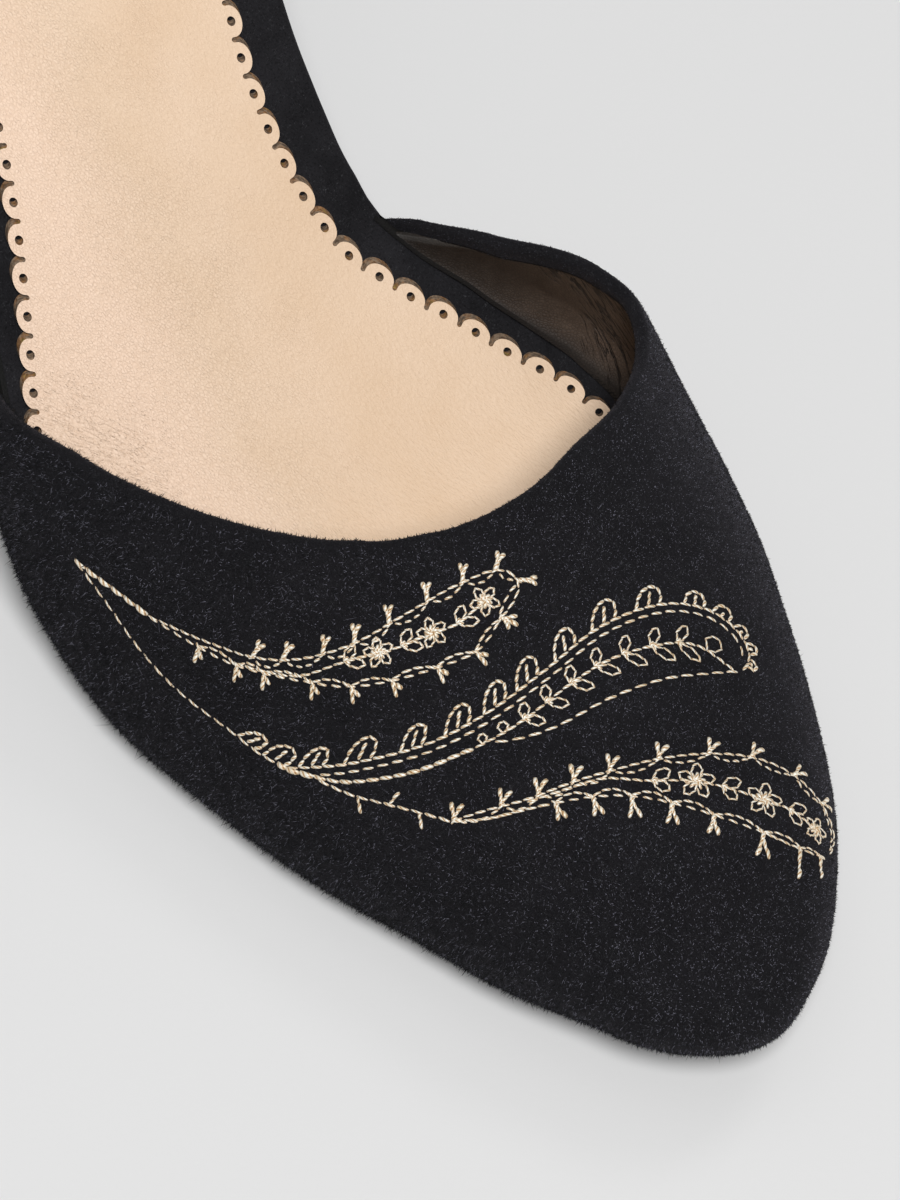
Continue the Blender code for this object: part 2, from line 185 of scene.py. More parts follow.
def past_waist(side, x):
    """How far x lies beyond the open waist, within the vamp or the counter."""
    front, back = WAIST[side]
    return np.maximum(x - front, back - x)


def wall(side, x):
    """Thickness of the walls."""
    return THIN + (WALL - THIN) * np.clip(past_waist(side, x) / SKIVE, 0, 1)


def board_inset(side, x):
    """The board's rim keeps clear of the walls, and is flush with the outline at the waist."""
    return (wall(side, x) + EDGE_GAP) * np.clip(1 + past_waist(side, x) / FLUSH, OPEN_SHARE, 1)


def inside_last(x, y, level):
    """True within the last, where level is the height above its widest line."""
    rise = np.clip(level, 0, None)
    share = np.clip((LEAN_START - x) / (LEAN_START - LEAN_FULL), 0, 1)
    x = x - LEAN * share * (rise / LEAN_HEIGHT) ** 2
    within = (x > BACK) & (x < TIP)
    x = np.clip(x, BACK + TINY, TIP - TINY)
    share_up = np.clip(rise / (ridge(x) + TINY), 0, 1)
    lateral = half_width("lateral", x)
    medial = half_width("medial", x)
    middle = (medial - lateral) / 2
    centre = middle + (section("ridge_y", x) - middle) * share_up ** RIDGE_BEND
    closing = (1 - share_up ** section("top_power", x)) ** (1 / SIDE_POWER)
    return within & (rise < ridge(x)) & (np.abs(y - centre) < (lateral + medial) / 2 * closing)


def cast(eye, azimuth, elevation):
    """Points where rays from the eye leave the last, in widest-line coordinates."""
    azimuth, elevation = np.broadcast_arrays(azimuth, elevation)
    way = np.stack([np.cos(azimuth) * np.cos(elevation), np.sin(azimuth) * np.cos(elevation),
                    np.sin(elevation)], axis=-1)
    start = np.array([eye[0], eye[1], 0.0])
    near = np.zeros(azimuth.shape)
    far = np.full(azimuth.shape, LENGTH)
    for _ in range(HALVINGS):
        middle = (near + far) / 2
        point = start + way * middle[..., None]
        within = inside_last(point[..., 0], point[..., 1], point[..., 2])
        near = np.where(within, middle, near)
        far = np.where(within, far, middle)
    return start + way * near[..., None]


def raised(point):
    """From widest-line coordinates to the real height over the floor."""
    real = point.copy()
    real[..., 2] += feather(point[..., 0]) + section("bulge", point[..., 0])
    return real


def elevation_of(eye, azimuth, height):
    """Elevation where the last stands this high above the feather, tried every half degree."""
    rays = np.radians(np.linspace(0, 80, 161))
    point = cast(eye, np.full_like(rays, azimuth), rays)
    heights = point[:, 2] + section("bulge", point[:, 0])
    if height > heights[0]:
        return float(np.interp(height, heights, rays))
    reach = math.hypot(point[0, 0] - eye[0], point[0, 1] - eye[1])
    return -math.atan((heights[0] - height) / reach)


def wall_azimuths(eye, first, last, count):
    """Azimuths evenly spaced along the widest outline."""
    fine = np.linspace(first, last, FAN_SAMPLES)
    run = arc_length(cast(eye, fine, np.zeros_like(fine)))
    return np.interp(np.linspace(0, run[-1], count), run, fine)


def rim_points(side, inset):
    """The feather outline moved inwards by inset(side, x), as x and distance from the middle."""
    angle = np.linspace(0, math.pi, RIM_SAMPLES)
    x = TIP - LENGTH * (1 - np.cos(angle)) / 2
    y = SIDES[side](angle)
    along_x = np.gradient(x, angle)
    along_y = np.gradient(y, angle)
    size = np.hypot(along_x, along_y)
    move = section("tuck", x) + inset(side, x)
    x, y = x + along_y / size * -move, y + along_x / size * move
    keep = y > 0
    return x[keep][::-1], y[keep][::-1]


# ---- making meshes --------------------------------------------------------------------------------

def unit(vectors):
    """The same directions, one long."""
    return vectors / np.maximum(np.linalg.norm(vectors, axis=-1, keepdims=True), 1e-9)


def arc_length(points):
    """Distance along a polyline at each of its points."""
    return np.concatenate([[0], np.cumsum(np.linalg.norm(np.diff(points, axis=0), axis=1))])


def along(points, places):
    """Points at these distances along a polyline."""
    lengths = arc_length(points)
    return np.stack([np.interp(places, lengths, points[:, k]) for k in range(points.shape[1])], axis=1)


def curve_through(points, step):
    """A smooth curve through a few points (centripetal Catmull-Rom), as points step apart."""
    points = np.array(points, dtype=float)
    padded = np.concatenate([[2 * points[0] - points[1]], points, [2 * points[-1] - points[-2]]])
    pieces = []
    for before, start, end, after in zip(padded, padded[1:], padded[2:], padded[3:]):
        spans = ((before, start), (start, end), (end, after))
        first, middle, last = (math.sqrt(np.linalg.norm(b - a)) for a, b in spans)
        leaving = (end - start) + middle * ((start - before) / first - (end - before) / (first + middle))
        arriving = (end - start) + middle * ((after - end) / last - (after - start) / (middle + last))
        t = np.linspace(0, 1, SPAN_SAMPLES)[:, None]
        pieces.append((2 * t ** 3 - 3 * t ** 2 + 1) * start + (t ** 3 - 2 * t ** 2 + t) * leaving
                      + (3 * t ** 2 - 2 * t ** 3) * end + (t ** 3 - t ** 2) * arriving)
    fine = np.concatenate(pieces)
    count = max(2, int(round(arc_length(fine)[-1] / step)) + 1)
    return along(fine, np.linspace(0, arc_length(fine)[-1], count))


def loft(rings):
    """One closed body through equal rings of points, each point with its chart: millimetres along the
    loft, millimetres round the ring and share of the way round."""
    rings = np.asarray(rings)
    across = np.cumsum(np.linalg.norm(np.diff(rings, axis=1, prepend=rings[:, :1]), axis=2), axis=1)
    forward = arc_length(rings.mean(axis=1))
    form = bmesh.new()
    chart = form.verts.layers.float_vector.new("chart")
    ring = [form.verts.new(point * MM) for point in rings[0]]
    edges = [form.edges.new(pair) for pair in zip(ring, ring[1:] + ring[:1])]
    bmesh.ops.contextual_create(form, geom=edges)
    for k, points in enumerate(rings):
        if k > 0:
            made = bmesh.ops.extrude_edge_only(form, edges=edges)["geom"]
            fresh = {item for item in made if isinstance(item, bmesh.types.BMVert)}
            ring = [next(edge.other_vert(vert) for edge in vert.link_edges
                         if edge.other_vert(vert) in fresh) for vert in ring]
            edges = [form.edges.get(pair) for pair in zip(ring, ring[1:] + ring[:1])]
        for index, vert in enumerate(ring):
            vert.co = points[index] * MM
            vert[chart] = (forward[k], across[k, index], index / len(ring))
    bmesh.ops.contextual_create(form, geom=edges)
    bmesh.ops.recalc_face_normals(form, faces=form.faces)
    return form


def add_attribute(mesh, name, values):
    """A value for each point of a mesh: one number, or three."""
    values = np.asarray(values, dtype=np.float32)
    kind, key = ("FLOAT_VECTOR", "vector") if values.ndim == 2 else ("FLOAT", "value")
    mesh.attributes.new(name, kind, "POINT").data.foreach_set(key, values.ravel())


def piece(name, mesh, finish, replaces=(), sharp=None):
    """Puts a finished mesh on the shoe."""
    mesh.name = name
    for each in finish if isinstance(finish, (list, tuple)) else [finish]:
        mesh.materials.append(each)
    mesh.shade_smooth()
    if sharp is not None:
        mesh.set_sharp_from_angle(angle=math.radians(sharp))
    made = bpy.data.objects.new(name, mesh)
    bpy.context.scene.collection.objects.link(made)
    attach(made, "root")
    if replaces:
        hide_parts(*replaces)
    return made


def mesh_from(form):
    """A mesh from a bmesh, which is freed."""
    mesh = bpy.data.meshes.new("form")
    form.to_mesh(mesh)
    form.free()
    return mesh


def joined(verts, faces, attributes=()):
    """One mesh from arrays of points and of faces, for many small things that are alike."""
    mesh = bpy.data.meshes.new("joined")
    mesh.vertices.add(len(verts))
    mesh.vertices.foreach_set("co", (np.asarray(verts) * MM).astype(np.float32).ravel())
    counts = np.array([len(face_set[0]) for face_set in faces for _ in face_set])
    loops = np.concatenate([face_set.ravel() for face_set in faces])
    mesh.loops.add(len(loops))
    mesh.loops.foreach_set("vertex_index", loops.astype(np.int32))
    mesh.polygons.add(len(counts))
    starts = np.concatenate([[0], np.cumsum(counts)[:-1]])
    mesh.polygons.foreach_set("loop_start", starts.astype(np.int32))
    mesh.update(calc_edges=True)
    for name, values in attributes:
        add_attribute(mesh, name, values)
    return mesh


# ---- uppers: suede folded over the topline, and the leather lining inside it ------------------------

# Rows lie this far below the fold, and on a low wall no further down than these shares of it.
NEAR_TOP = np.array([0.0, 0.4, 0.8, 1.2, 1.7, 2.3, 3.1])
NEAR_SHARE = np.array([0.0, 0.2, 0.42, 0.62, 0.82, 0.9, 0.95])
LIP = 4                 # the folded suede ends at this row inside the wall
LIP_PROUD = 0.05        # and stands this far proud of the wall's inner face
FOLD_STEPS = 8          # points over the fold
SUEDE = 0.5             # share of the wall that is suede
LAYER_GAP = 0.05        # share of it between suede and lining
LINING_FACE = 0.94      # share of it down to the lining's face
CREASE_LEVEL = 2.75     # the lining meets the footbed this far above the feather
LINING_FOOT = 0.2       # and its back ends this far lower
SEAT_GAP = 0.4          # the lining's foot keeps this far inside the board's rim
SEAT_BEND = 1.6         # how late the lining swings in to its foot
TAIL_SHARE = 0.15       # share of its thickness that a wall keeps at its very end
TAIL_TUCK = 1.1         # its thin tail is drawn in under the board's rim
# The vamp's topline where it runs down on to the board's rim: degrees round and up from the eye.
VAMP_END = table(("azimuth", "elevation"), (
    (137.0, 2.4), (141.0, 0.5), (145.0, -1.6), (147.5, -3.5), (148.7, -4.7), (149.8, -5.7),
    (151.0, -7.2), (152.0, -11.0),
))
COUNTER_PAST = 1.5      # degrees that the counter runs on past its ends
COUNTER_LOW_SHARE = 0.985       # the last height of its topline is reached at this share of the way
COUNTER_END_HEIGHT = 1.9        # and its very end is this high


def tail(side, x):
    """Share of its thickness that a wall keeps where it runs out on the board's rim."""
    return float(np.clip(1 + past_waist(side, x) / FLUSH, TAIL_SHARE, 1))


def skin_grid(eye, azimuths, tops, rows):
    """Outer points down each station from just below the topline to the feather, with normals."""
    rays = np.clip(tops, 0, None)[:, None] * np.linspace(1, 0, FINE)
    above = cast(eye, np.repeat(azimuths[:, None], FINE, axis=1), rays)
    widest = above[:, -1]
    run = np.gradient(widest[:, :2], axis=0)
    outward = unit(np.stack([run[:, 1], -run[:, 0], np.zeros(len(run))], axis=1))
    grid = []
    thick = []
    for i, top in enumerate(tops):
        bulge = section("bulge", widest[i, 0])
        reach = math.hypot(widest[i, 0] - eye[0], widest[i, 1] - eye[1])
        side = "medial" if widest[i, 1] > 0 else "lateral"
        share = tail(side, widest[i, 0])
        start = min(1 - STUB * share / bulge, reach * math.tan(max(-top, 0.0)) / bulge)
        drop = np.linspace(start, 1.0, FINE // 3)[:, None]
        tuck = section("tuck", widest[i, 0]) + (1 - share) * TAIL_TUCK
        tucked = widest[i] - outward[i] * tuck * drop ** 2 - (0, 0, bulge) * drop
        line = tucked if top < 0 else np.concatenate([above[i], tucked[1:]])
        thick.append(float(wall(side, line[-1, 0])) * share)
        length = arc_length(line)[-1] - thick[-1] / 2
        near = np.minimum(NEAR_TOP, NEAR_SHARE * length)
        rest = np.linspace(near[-1], length, rows - len(near) + 1)[1:]
        grid.append(along(line, thick[-1] / 2 + np.concatenate([near, rest])))
    grid = raised(np.array(grid))
    normals = unit(np.cross(np.gradient(grid, axis=1), np.gradient(grid, axis=0)))
    return grid, normals, np.array(thick)[:, None, None]


def folded(grid, normals, thick):
    """The suede's outer face: up from the feather, over the fold and down to the lip inside."""
    up = unit(grid[:, :1] - grid[:, 1:2])
    centre = grid[:, :1] - normals[:, :1] * thick / 2
    angles = np.linspace(0, math.pi, FOLD_STEPS + 1)[1:-1, None]
    over = centre + thick / 2 * (np.cos(angles) * normals[:, :1] + np.sin(angles) * up)
    over_out = np.cos(angles) * normals[:, :1] + np.sin(angles) * up
    lip = grid[:, :LIP + 1] - normals[:, :LIP + 1] * (thick + LIP_PROUD)
    face = np.concatenate([grid[:, ::-1], over, lip], axis=1)
    out = np.concatenate([normals[:, ::-1], over_out, -normals[:, :LIP + 1]], axis=1)
    return face, out


def suede_shell(name, walls, finish, node):
    """The folded suede of one wall. Returns its outer face and its fold, as points and normals."""
    grid, normals, thick = walls
    face, out = folded(*walls)
    back = grid[:, LIP:] - normals[:, LIP:] * thick * SUEDE
    piece(name, mesh_from(loft(np.concatenate([face, back], axis=1))), finish, [node])
    rows = grid.shape[1]
    return (face[:, :rows], out[:, :rows]), (face[:, rows - 1:], out[:, rows - 1:])


def lining_shell(name, walls, finish):
    """The lining, from behind the folded lip down to where it meets the footbed."""
    grid, normals, thick = walls
    inner = grid - normals * (thick * LINING_FACE)
    foot = grid[:, -1]
    floor = feather(foot[:, 0])
    out = unit(normals[:, -1] * (1, 1, 0))
    inset = np.array([board_inset("medial" if y > 0 else "lateral", x) for x, y, _ in foot])
    seat = foot - out * (inset + SEAT_GAP)[:, None]
    seat[:, 2] = floor + CREASE_LEVEL
    widest = floor + section("bulge", foot[:, 0])
    sinking = np.clip(widest[:, None] - grid[:, :, 2], 0, None)
    ease = ((sinking / np.maximum(sinking[:, -1:], 0.1)) ** SEAT_BEND)[:, :, None]
    inner = inner * (1 - ease) + seat[:, None] * ease
    face = inner[:, LIP - 1:]
    back = grid[:, LIP - 1:] - normals[:, LIP - 1:] * thick * (SUEDE + LAYER_GAP)
    crease = floor[:, None] + CREASE_LEVEL
    back[:, :, 2] = np.where(back[:, :, 2] < crease, crease - LINING_FOOT, back[:, :, 2])
    rings = np.concatenate([face, back[:, ::-1]], axis=1)
    piece(name, mesh_from(loft(rings)), finish)


def vamp_walls(stations=310, rows=46):
    """The vamp's grid. The two rows at each end of its topline give way to its finer ends."""
    around, up = VAMP_END["azimuth"], VAMP_END["elevation"]
    azimuths = np.radians([*-around[::-1], *VAMP_TOP["azimuth"][2:-2], *around])
    elevations = np.array([*up[::-1], *VAMP_TOP["elevation"][2:-2], *up])
    spread = wall_azimuths(VAMP_EYE, azimuths[0], azimuths[-1], stations)
    tops = np.radians(smooth(azimuths, elevations)(spread))
    return skin_grid(VAMP_EYE, spread, tops, rows)


def counter_walls(stations=150, rows=46):
    """The counter's grid. Its topline runs out a little further and lower than the part's."""
    ends = [math.radians(COUNTER_ENDS[side] + COUNTER_PAST) for side in ("medial", "lateral")]
    spread = wall_azimuths(COUNTER_EYE, math.pi - ends[0], math.pi + ends[1], stations)
    coarse = np.linspace(math.pi - ends[0], math.pi + ends[1], FINE)
    share = np.abs(coarse - math.pi) / np.where(coarse < math.pi, *ends)
    shares = np.append(COUNTER_TOP["share"][:-1], (COUNTER_LOW_SHARE, 1.0))
    heights = smooth(shares, np.append(COUNTER_TOP["height"], COUNTER_END_HEIGHT))(share)
    tops = np.array([elevation_of(COUNTER_EYE, angle, height) for angle, height in zip(coarse, heights)])
    return skin_grid(COUNTER_EYE, spread, np.interp(spread, coarse, tops), rows)


# ---- nap ------------------------------------------------------------------------------------------

FIBRE_WIDTH = 0.055     # half width of a tuft of fibres at its root
NAP_CLEAR = 0.5         # the nap keeps this far from the threads
OUTER_NAP = 0.7         # the nap is this much longer on the lateral side
NAP_SIDE = 35.0         # and fully so this far from the middle
ROOT_DEPTH = 0.06       # a tuft starts this far under the suede's face


def nap(name, sheets, count, finish, seed, length=0.55, comb=(-0.1, -0.25, -0.15), keep_off=None,
        rise=(12, 68), thick=FIBRE_WIDTH, shades=(0.0, 1.0), wild=0.75):
    """Tapered fibres over sheets of (points, outward normals), leaning the way the suede is brushed."""
    rng = np.random.default_rng(seed)
    corners = []
    outs = []
    for points, out in sheets:
        corners.append(np.stack([points[:-1, :-1], points[1:, :-1], points[1:, 1:], points[:-1, 1:]],
                                axis=2).reshape(-1, 4, 3))
        outs.append(out[:-1, :-1].reshape(-1, 3))
    corners = np.concatenate(corners)
    outs = np.concatenate(outs)
    area = np.linalg.norm(np.cross(corners[:, 2] - corners[:, 0], corners[:, 3] - corners[:, 1]), axis=1)
    pick = np.searchsorted(np.cumsum(area) / area.sum(), rng.random(count))
    s = rng.random((count, 1))
    t = rng.random((count, 1))
    cell = corners[pick]
    root = ((cell[:, 0] * (1 - s) + cell[:, 1] * s) * (1 - t) + (cell[:, 3] * (1 - s) + cell[:, 2] * s) * t)
    normal = outs[pick]
    brushed = np.asarray(comb) + rng.normal(0, wild, (count, 3))
    brushed = unit(brushed - normal * np.sum(brushed * normal, axis=1, keepdims=True))
    angle = np.radians(rng.uniform(*rise, (count, 1)))
    outer = 1 + OUTER_NAP * np.clip(-root[:, 1:2] / NAP_SIDE, -0.6, 1)
    reach = length * outer * rng.lognormal(0, 0.34, (count, 1))
    way = brushed * np.cos(angle) + normal * np.sin(angle)
    shade = rng.uniform(*shades, count)
    if keep_off is not None:
        clear = np.array([keep_off.find(point)[2] > NAP_CLEAR for point in root])
        root, normal, way, reach, shade = (each[clear] for each in (root, normal, way, reach, shade))
    across = unit(np.cross(way, normal))
    over = np.cross(across, way)
    wide = thick * (1.2 - 0.6 * shade[:, None])
    low = root - normal * ROOT_DEPTH
    verts = np.stack([low - across * wide, low + across * wide, low + over * wide * 1.4,
                      root + way * reach], axis=1)
    first = np.arange(len(root))[:, None] * 4
    faces = np.concatenate([first + (0, 1, 3), first + (1, 2, 3), first + (2, 0, 3)])
    mesh = joined(verts.reshape(-1, 3), [faces], [("shade", np.repeat(shade, 4))])
    return piece(name, mesh, finish)


# ---- footbed, sock, outsole, heel -------------------------------------------------------------------

END_GAP = 0.02          # stations stop this far short of a plate's very ends
SOLE_RISE = 0.2         # the sole fills this much of the joint above it
WRAP = 0.45             # the wrapping stands this far out from the board's rim
UNDER_WALL = 0.7        # and it reaches this much further under the walls
CORNER = 0.6            # with a little more where a wall begins
SEAM = 0.12             # open joint between the heel and its top piece
HEEL_ALONG = 1.1        # powers that make the heel's plan full at its corners, along it
HEEL_ACROSS = 0.55      # and across it
BREAST_HOLLOW = 1.2     # the breast is hollow by this much
TOP_PIECE_HALF = 15.0   # about half of the top piece's width
# The top piece's rim, from the floor up: how far it is drawn in, and its level.
TOP_PIECE_RIM = table(("inset", "level"), (
    (0.9, 0.0), (0.35, 0.0), (0.0, 0.35), (0.0, TOP_PIECE - 0.25), (0.25, TOP_PIECE), (0.9, TOP_PIECE),
))


def plate_stations(inset, count, first=BACK):
    """Stations from heel to toe, drawn together at round ends, with the rim on each side."""
    lateral = rim_points("lateral", inset)
    medial = rim_points("medial", inset)
    back = max(lateral[0][0], medial[0][0])
    front = min(lateral[0][-1], medial[0][-1])
    turned = np.linspace(0, math.pi, count)
    if back > first:
        x = back + END_GAP + (front - back - 2 * END_GAP) * (1 - np.cos(turned)) / 2
        straight = np.linspace(back + END_GAP, front - END_GAP, count)
    else:
        x = first + (front - first - END_GAP) * np.sin(turned / 2)
        straight = np.linspace(first, front - END_GAP, count)
    x = np.sort(0.5 * x + 0.5 * straight)
    return x, np.interp(x, *lateral), np.interp(x, *medial)


def plate(stations, low, high, round_top, round_low, across):
    """Closed rings of a flat piece between two levels, its rim rounded by the given radii."""
    rings = []
    for x, lateral, medial in zip(*stations):
        most = 0.8 * min(lateral, medial)
        top = min(round_top, most)
        foot = min(round_low, most)
        bottom = float(low(x))
        roof = float(high(x))
        quarter = np.radians(np.linspace(0, 90, 6))
        rim = [(foot * (1 - math.sin(a)), bottom + foot * (1 - math.cos(a))) for a in quarter]
        rim += [(top * (1 - math.cos(a)), roof - top * (1 - math.sin(a))) for a in quarter]
        lower = [(y, bottom) for y in np.linspace(-lateral + foot, medial - foot, across)[1:-1]]
        upper = [(y, roof) for y in np.linspace(medial - top, -lateral + top, across)[1:-1]]
        right = [(medial - in_by, z) for in_by, z in rim]
        left = [(-lateral + in_by, z) for in_by, z in rim[::-1]]
        rings.append([(x, y, z) for y, z in lower + right + upper + left])
    return np.array(rings)


def make_footbed(finish):
    """The board in its suede wrapping, which shows as a black rim round the sock."""
    def inset(side, x):
        past = past_waist(side, x)
        corner = CORNER * np.exp(-((past + 0.5) / 2) ** 2)
        return board_inset(side, x) - WRAP - UNDER_WALL * np.clip(past / FLUSH, 0, 1) - corner

    stations = plate_stations(inset, 220)
    rings = plate(stations, feather, lambda x: feather(x) + BOARD, 1.1, 0.5, across=26)
    piece("footbed", mesh_from(loft(rings)), finish, ["board"])


def make_outsole(finish):
    """The thin sole, which reaches a little up into the joint under the walls."""
    def inset(side, x):
        return np.full_like(x, OUTSOLE_RIM)

    stations = plate_stations(inset, 200, SOLE_END)
    rings = plate(stations, ground, lambda x: ground(x) + SOLE + SOLE_RISE, 0.3, 0.7, across=20)
    piece("sole_unit", mesh_from(loft(rings)), finish, ["outsole"], sharp=50)


# The sock: the line of punched holes runs this far inside the feather outline.
HOLE_LINE = table(("behind", "lateral", "medial"), (
    (0, 6.5, 6.5), (80, 5.6, 5.4), (94, 5.5, 5.8), (98, 5.5, 6.1), (106, 5.4, 6.3), (110, 5.4, 6.75),
    (113, 5.4, 6.95), (121, 5.5, 7.05), (124, 5.5, 7.0), (128, 5.5, 7.45), (136, 5.85, 8.0), (140, 5.9, 8.25),
    (145, 5.95, 8.25), (149, 6.05, 8.0), (153, 6.15, 7.7), (180, 7.2, 7.6), (238, 6.8, 6.8),
))
PITCH = 5.0             # from hole to hole
HOLE = 0.56             # radius of a punched hole
SLANT = Vector((-0.62, 0.36, 0.0))      # the punch leans, so the underside lies this far over
BURR = 0.16             # and the scallops spread this much towards the underside
SCALLOP = 1.42          # from a hole to the tip of its scallop
SCALLOP_HALF = 2.15     # half of a scallop's width
SLOT_DEPTH = 0.55       # the slot between two scallops ends this far inside the line of holes
SOCK_LOW = 0.05         # underside and top of the sock above the footbed
SOCK_HIGH = 1.3
PLAIN_TOE = 62.0        # the sock's edge is plain ahead of this
ONE_HOLE = (-27.5, 17.35)       # a hole of the medial side, from which the rest are stepped
BENDS = np.arange(-144.0, 80.0, 4.0)    # the flat sheet is divided here, so that it lies to the bed
OWN_RIM = 1.5           # a vertex nearer than this many radii is on a hole's own rim


def hole_line():
    """The line of holes, from the lateral front round the heel to the medial front."""
    curves = {side: smooth(HOLE_LINE["behind"], HOLE_LINE[side]) for side in ("lateral", "medial")}
    halves = []
    for side, sign in (("lateral", -1), ("medial", 1)):
        x, y = rim_points(side, lambda s, at: curves[s](TIP - at))
        halves.append(np.stack([x, sign * y], axis=1))
    lateral, medial = halves
    return np.concatenate([lateral[::-1], medial])


def bed_level(x):
    """Level of the footbed's face."""
    return feather(x) + BOARD


def sock_outline():
    """Edge of the sock in plan and the places of its holes, both on the sloping bed."""
    line = hole_line()
    solid = np.stack([line[:, 0], line[:, 1], bed_level(line[:, 0])], axis=1)
    lengths = arc_length(solid)
    front = TIP - PLAIN_TOE
    kept = np.flatnonzero(line[:, 0] < front)
    start, stop = lengths[kept[0]], lengths[kept[-1]]
    anchor = lengths[np.argmin(np.hypot(line[:, 0] - ONE_HOLE[0], line[:, 1] - ONE_HOLE[1]))]
    first = anchor - PITCH * math.floor((anchor - start) / PITCH)
    centres = np.arange(first, stop, PITCH)
    flow = np.gradient(solid[:, :2], lengths, axis=0)
    outward = unit(np.stack([-flow[:, 1], flow[:, 0]], axis=1))

    def place(s, out):
        at = [np.interp(s, lengths, solid[:, k]) for k in (0, 1)]
        way = [np.interp(s, lengths, outward[:, k]) for k in (0, 1)]
        return np.stack([at[0] + out * way[0], at[1] + out * way[1]], axis=-1)

    shape = []
    for turn_angle in np.radians(np.linspace(180, 0, 17)):
        shape.append((SCALLOP_HALF * math.cos(turn_angle), SCALLOP * math.sin(turn_angle)))
    slot = (PITCH - 2 * SCALLOP_HALF) / 2
    for turn_angle in np.radians(np.linspace(180, 360, 9)):
        shape.append((PITCH / 2 + slot * math.cos(turn_angle),
                      -(SLOT_DEPTH - slot) + slot * math.sin(turn_angle)))
    outline = [place(centre + step, out) for centre in centres for step, out in shape]
    toe = np.flatnonzero(line[:, 0] >= front)
    ahead = toe[toe > kept[-1]]
    behind = toe[toe < kept[0]]
    rest = [place(lengths[k], 0.0) for k in np.concatenate([ahead, behind])[::12]]
    holes = [place(centre, 0.0) for centre in centres]
    return np.array(outline + rest), np.array(holes)


def rim_ways(sheet, holes):
    """The way out of the sheet at each vertex of its outer edge, in plan."""
    ways = {}
    for edge in sheet.edges:
        if edge.is_boundary:
            start, end = edge.verts
            way = Vector((end.co.y - start.co.y, start.co.x - end.co.x, 0))
            if way.dot(edge.link_faces[0].calc_center_median() - start.co) > 0:
                way.negate()
            for vert in edge.verts:
                ways[vert] = ways.get(vert, Vector()) + way
    outer = {}
    for vert, way in ways.items():
        nearest = np.hypot(holes[:, 0] - vert.co.x, holes[:, 1] - vert.co.y).min()
        if nearest > HOLE * OWN_RIM:
            outer[vert] = way.normalized() * min(1.0, 0.4 * nearest)
    return outer


def make_sock(finish):
    """A flat sheet cut to its outline, with its holes, then laid on the bed."""
    outline, holes = sock_outline()
    flat = bpy.data.curves.new("sock_cut", "CURVE")
    flat.dimensions = "2D"
    flat.fill_mode = "BOTH"
    ring = [(HOLE * math.cos(a), HOLE * math.sin(a)) for a in np.linspace(0, 2 * math.pi, 17)[:-1]]
    shapes = [outline] + [centre + np.array(ring) for centre in holes]
    for shape in shapes:
        spline = flat.splines.new("POLY")
        spline.points.add(len(shape) - 1)
        spline.points.foreach_set("co", np.concatenate(
            [shape, np.zeros((len(shape), 1)), np.ones((len(shape), 1))], axis=1).ravel())
        spline.use_cyclic_u = True
    cut = bpy.data.objects.new("sock_cut", flat)
    sheet = bmesh.new()
    sheet.from_mesh(cut.to_mesh())
    bpy.data.objects.remove(cut)
    bpy.data.curves.remove(flat)
    bmesh.ops.remove_doubles(sheet, verts=sheet.verts, dist=1e-4)
    for x in BENDS:
        bmesh.ops.bisect_plane(sheet, geom=sheet.verts[:] + sheet.edges[:] + sheet.faces[:],
                               plane_co=(x, 0, 0), plane_no=(1, 0, 0))
    bmesh.ops.recalc_face_normals(sheet, faces=sheet.faces)
    if sum(face.normal.z for face in sheet.faces) > 0:
        bmesh.ops.reverse_faces(sheet, faces=sheet.faces)
    spread = rim_ways(sheet, holes)
    made = bmesh.ops.extrude_face_region(sheet, geom=sheet.faces[:])["geom"]
    top = {item for item in made if isinstance(item, bmesh.types.BMVert)}
    for vert in sheet.verts:
        if vert not in top:
            vert.co += SLANT + spread.get(vert, Vector()) * BURR
        level = SOCK_HIGH if vert in top else SOCK_LOW
        x = vert.co.x
        lean = float(bed_level(x - 0.5) - bed_level(x + 0.5))
        square = 1 / math.hypot(1, lean)
        vert.co = Vector((x + level * lean * square, vert.co.y, float(bed_level(x)) + level * square)) * MM
    for face in sheet.faces:
        raised_verts = sum(vert in top for vert in face.verts)
        face.material_index = 0 if raised_verts in (0, len(face.verts)) else 1
    bmesh.ops.recalc_face_normals(sheet, faces=sheet.faces)
    piece("sock_leather", mesh_from(sheet), finish, ["sock"], sharp=40)


def heel_foot(share):
    """Place along and half width of the heel's foot, this share of the way to its back."""
    angle = math.pi / 2 * share
    x = HEEL_FOOT_BREAST + (HEEL_FOOT_BACK - HEEL_FOOT_BREAST) * math.sin(angle) ** HEEL_ALONG
    return x, HEEL_FOOT_HALF_WIDTH * math.cos(angle) ** HEEL_ACROSS


def heel_columns(count):
    """Paired lateral and medial points of the foot and of the seat, from the breast to the back."""
    def inset(side, x):
        return np.full_like(x, HEEL_SEAT_RIM)

    lateral = rim_points("lateral", inset)
    medial = rim_points("medial", inset)
    back = max(lateral[0][0], medial[0][0])
    breast = SOLE_END - GAP
    columns = []
    for share in np.sin(np.linspace(0, math.radians(88.5), count)):
        x = breast + (back - breast) * math.sin(math.pi / 2 * share) ** HEEL_ALONG
        columns.append((heel_foot(share), x, float(np.interp(x, *lateral)),
                        float(np.interp(x, *medial))))
    return columns


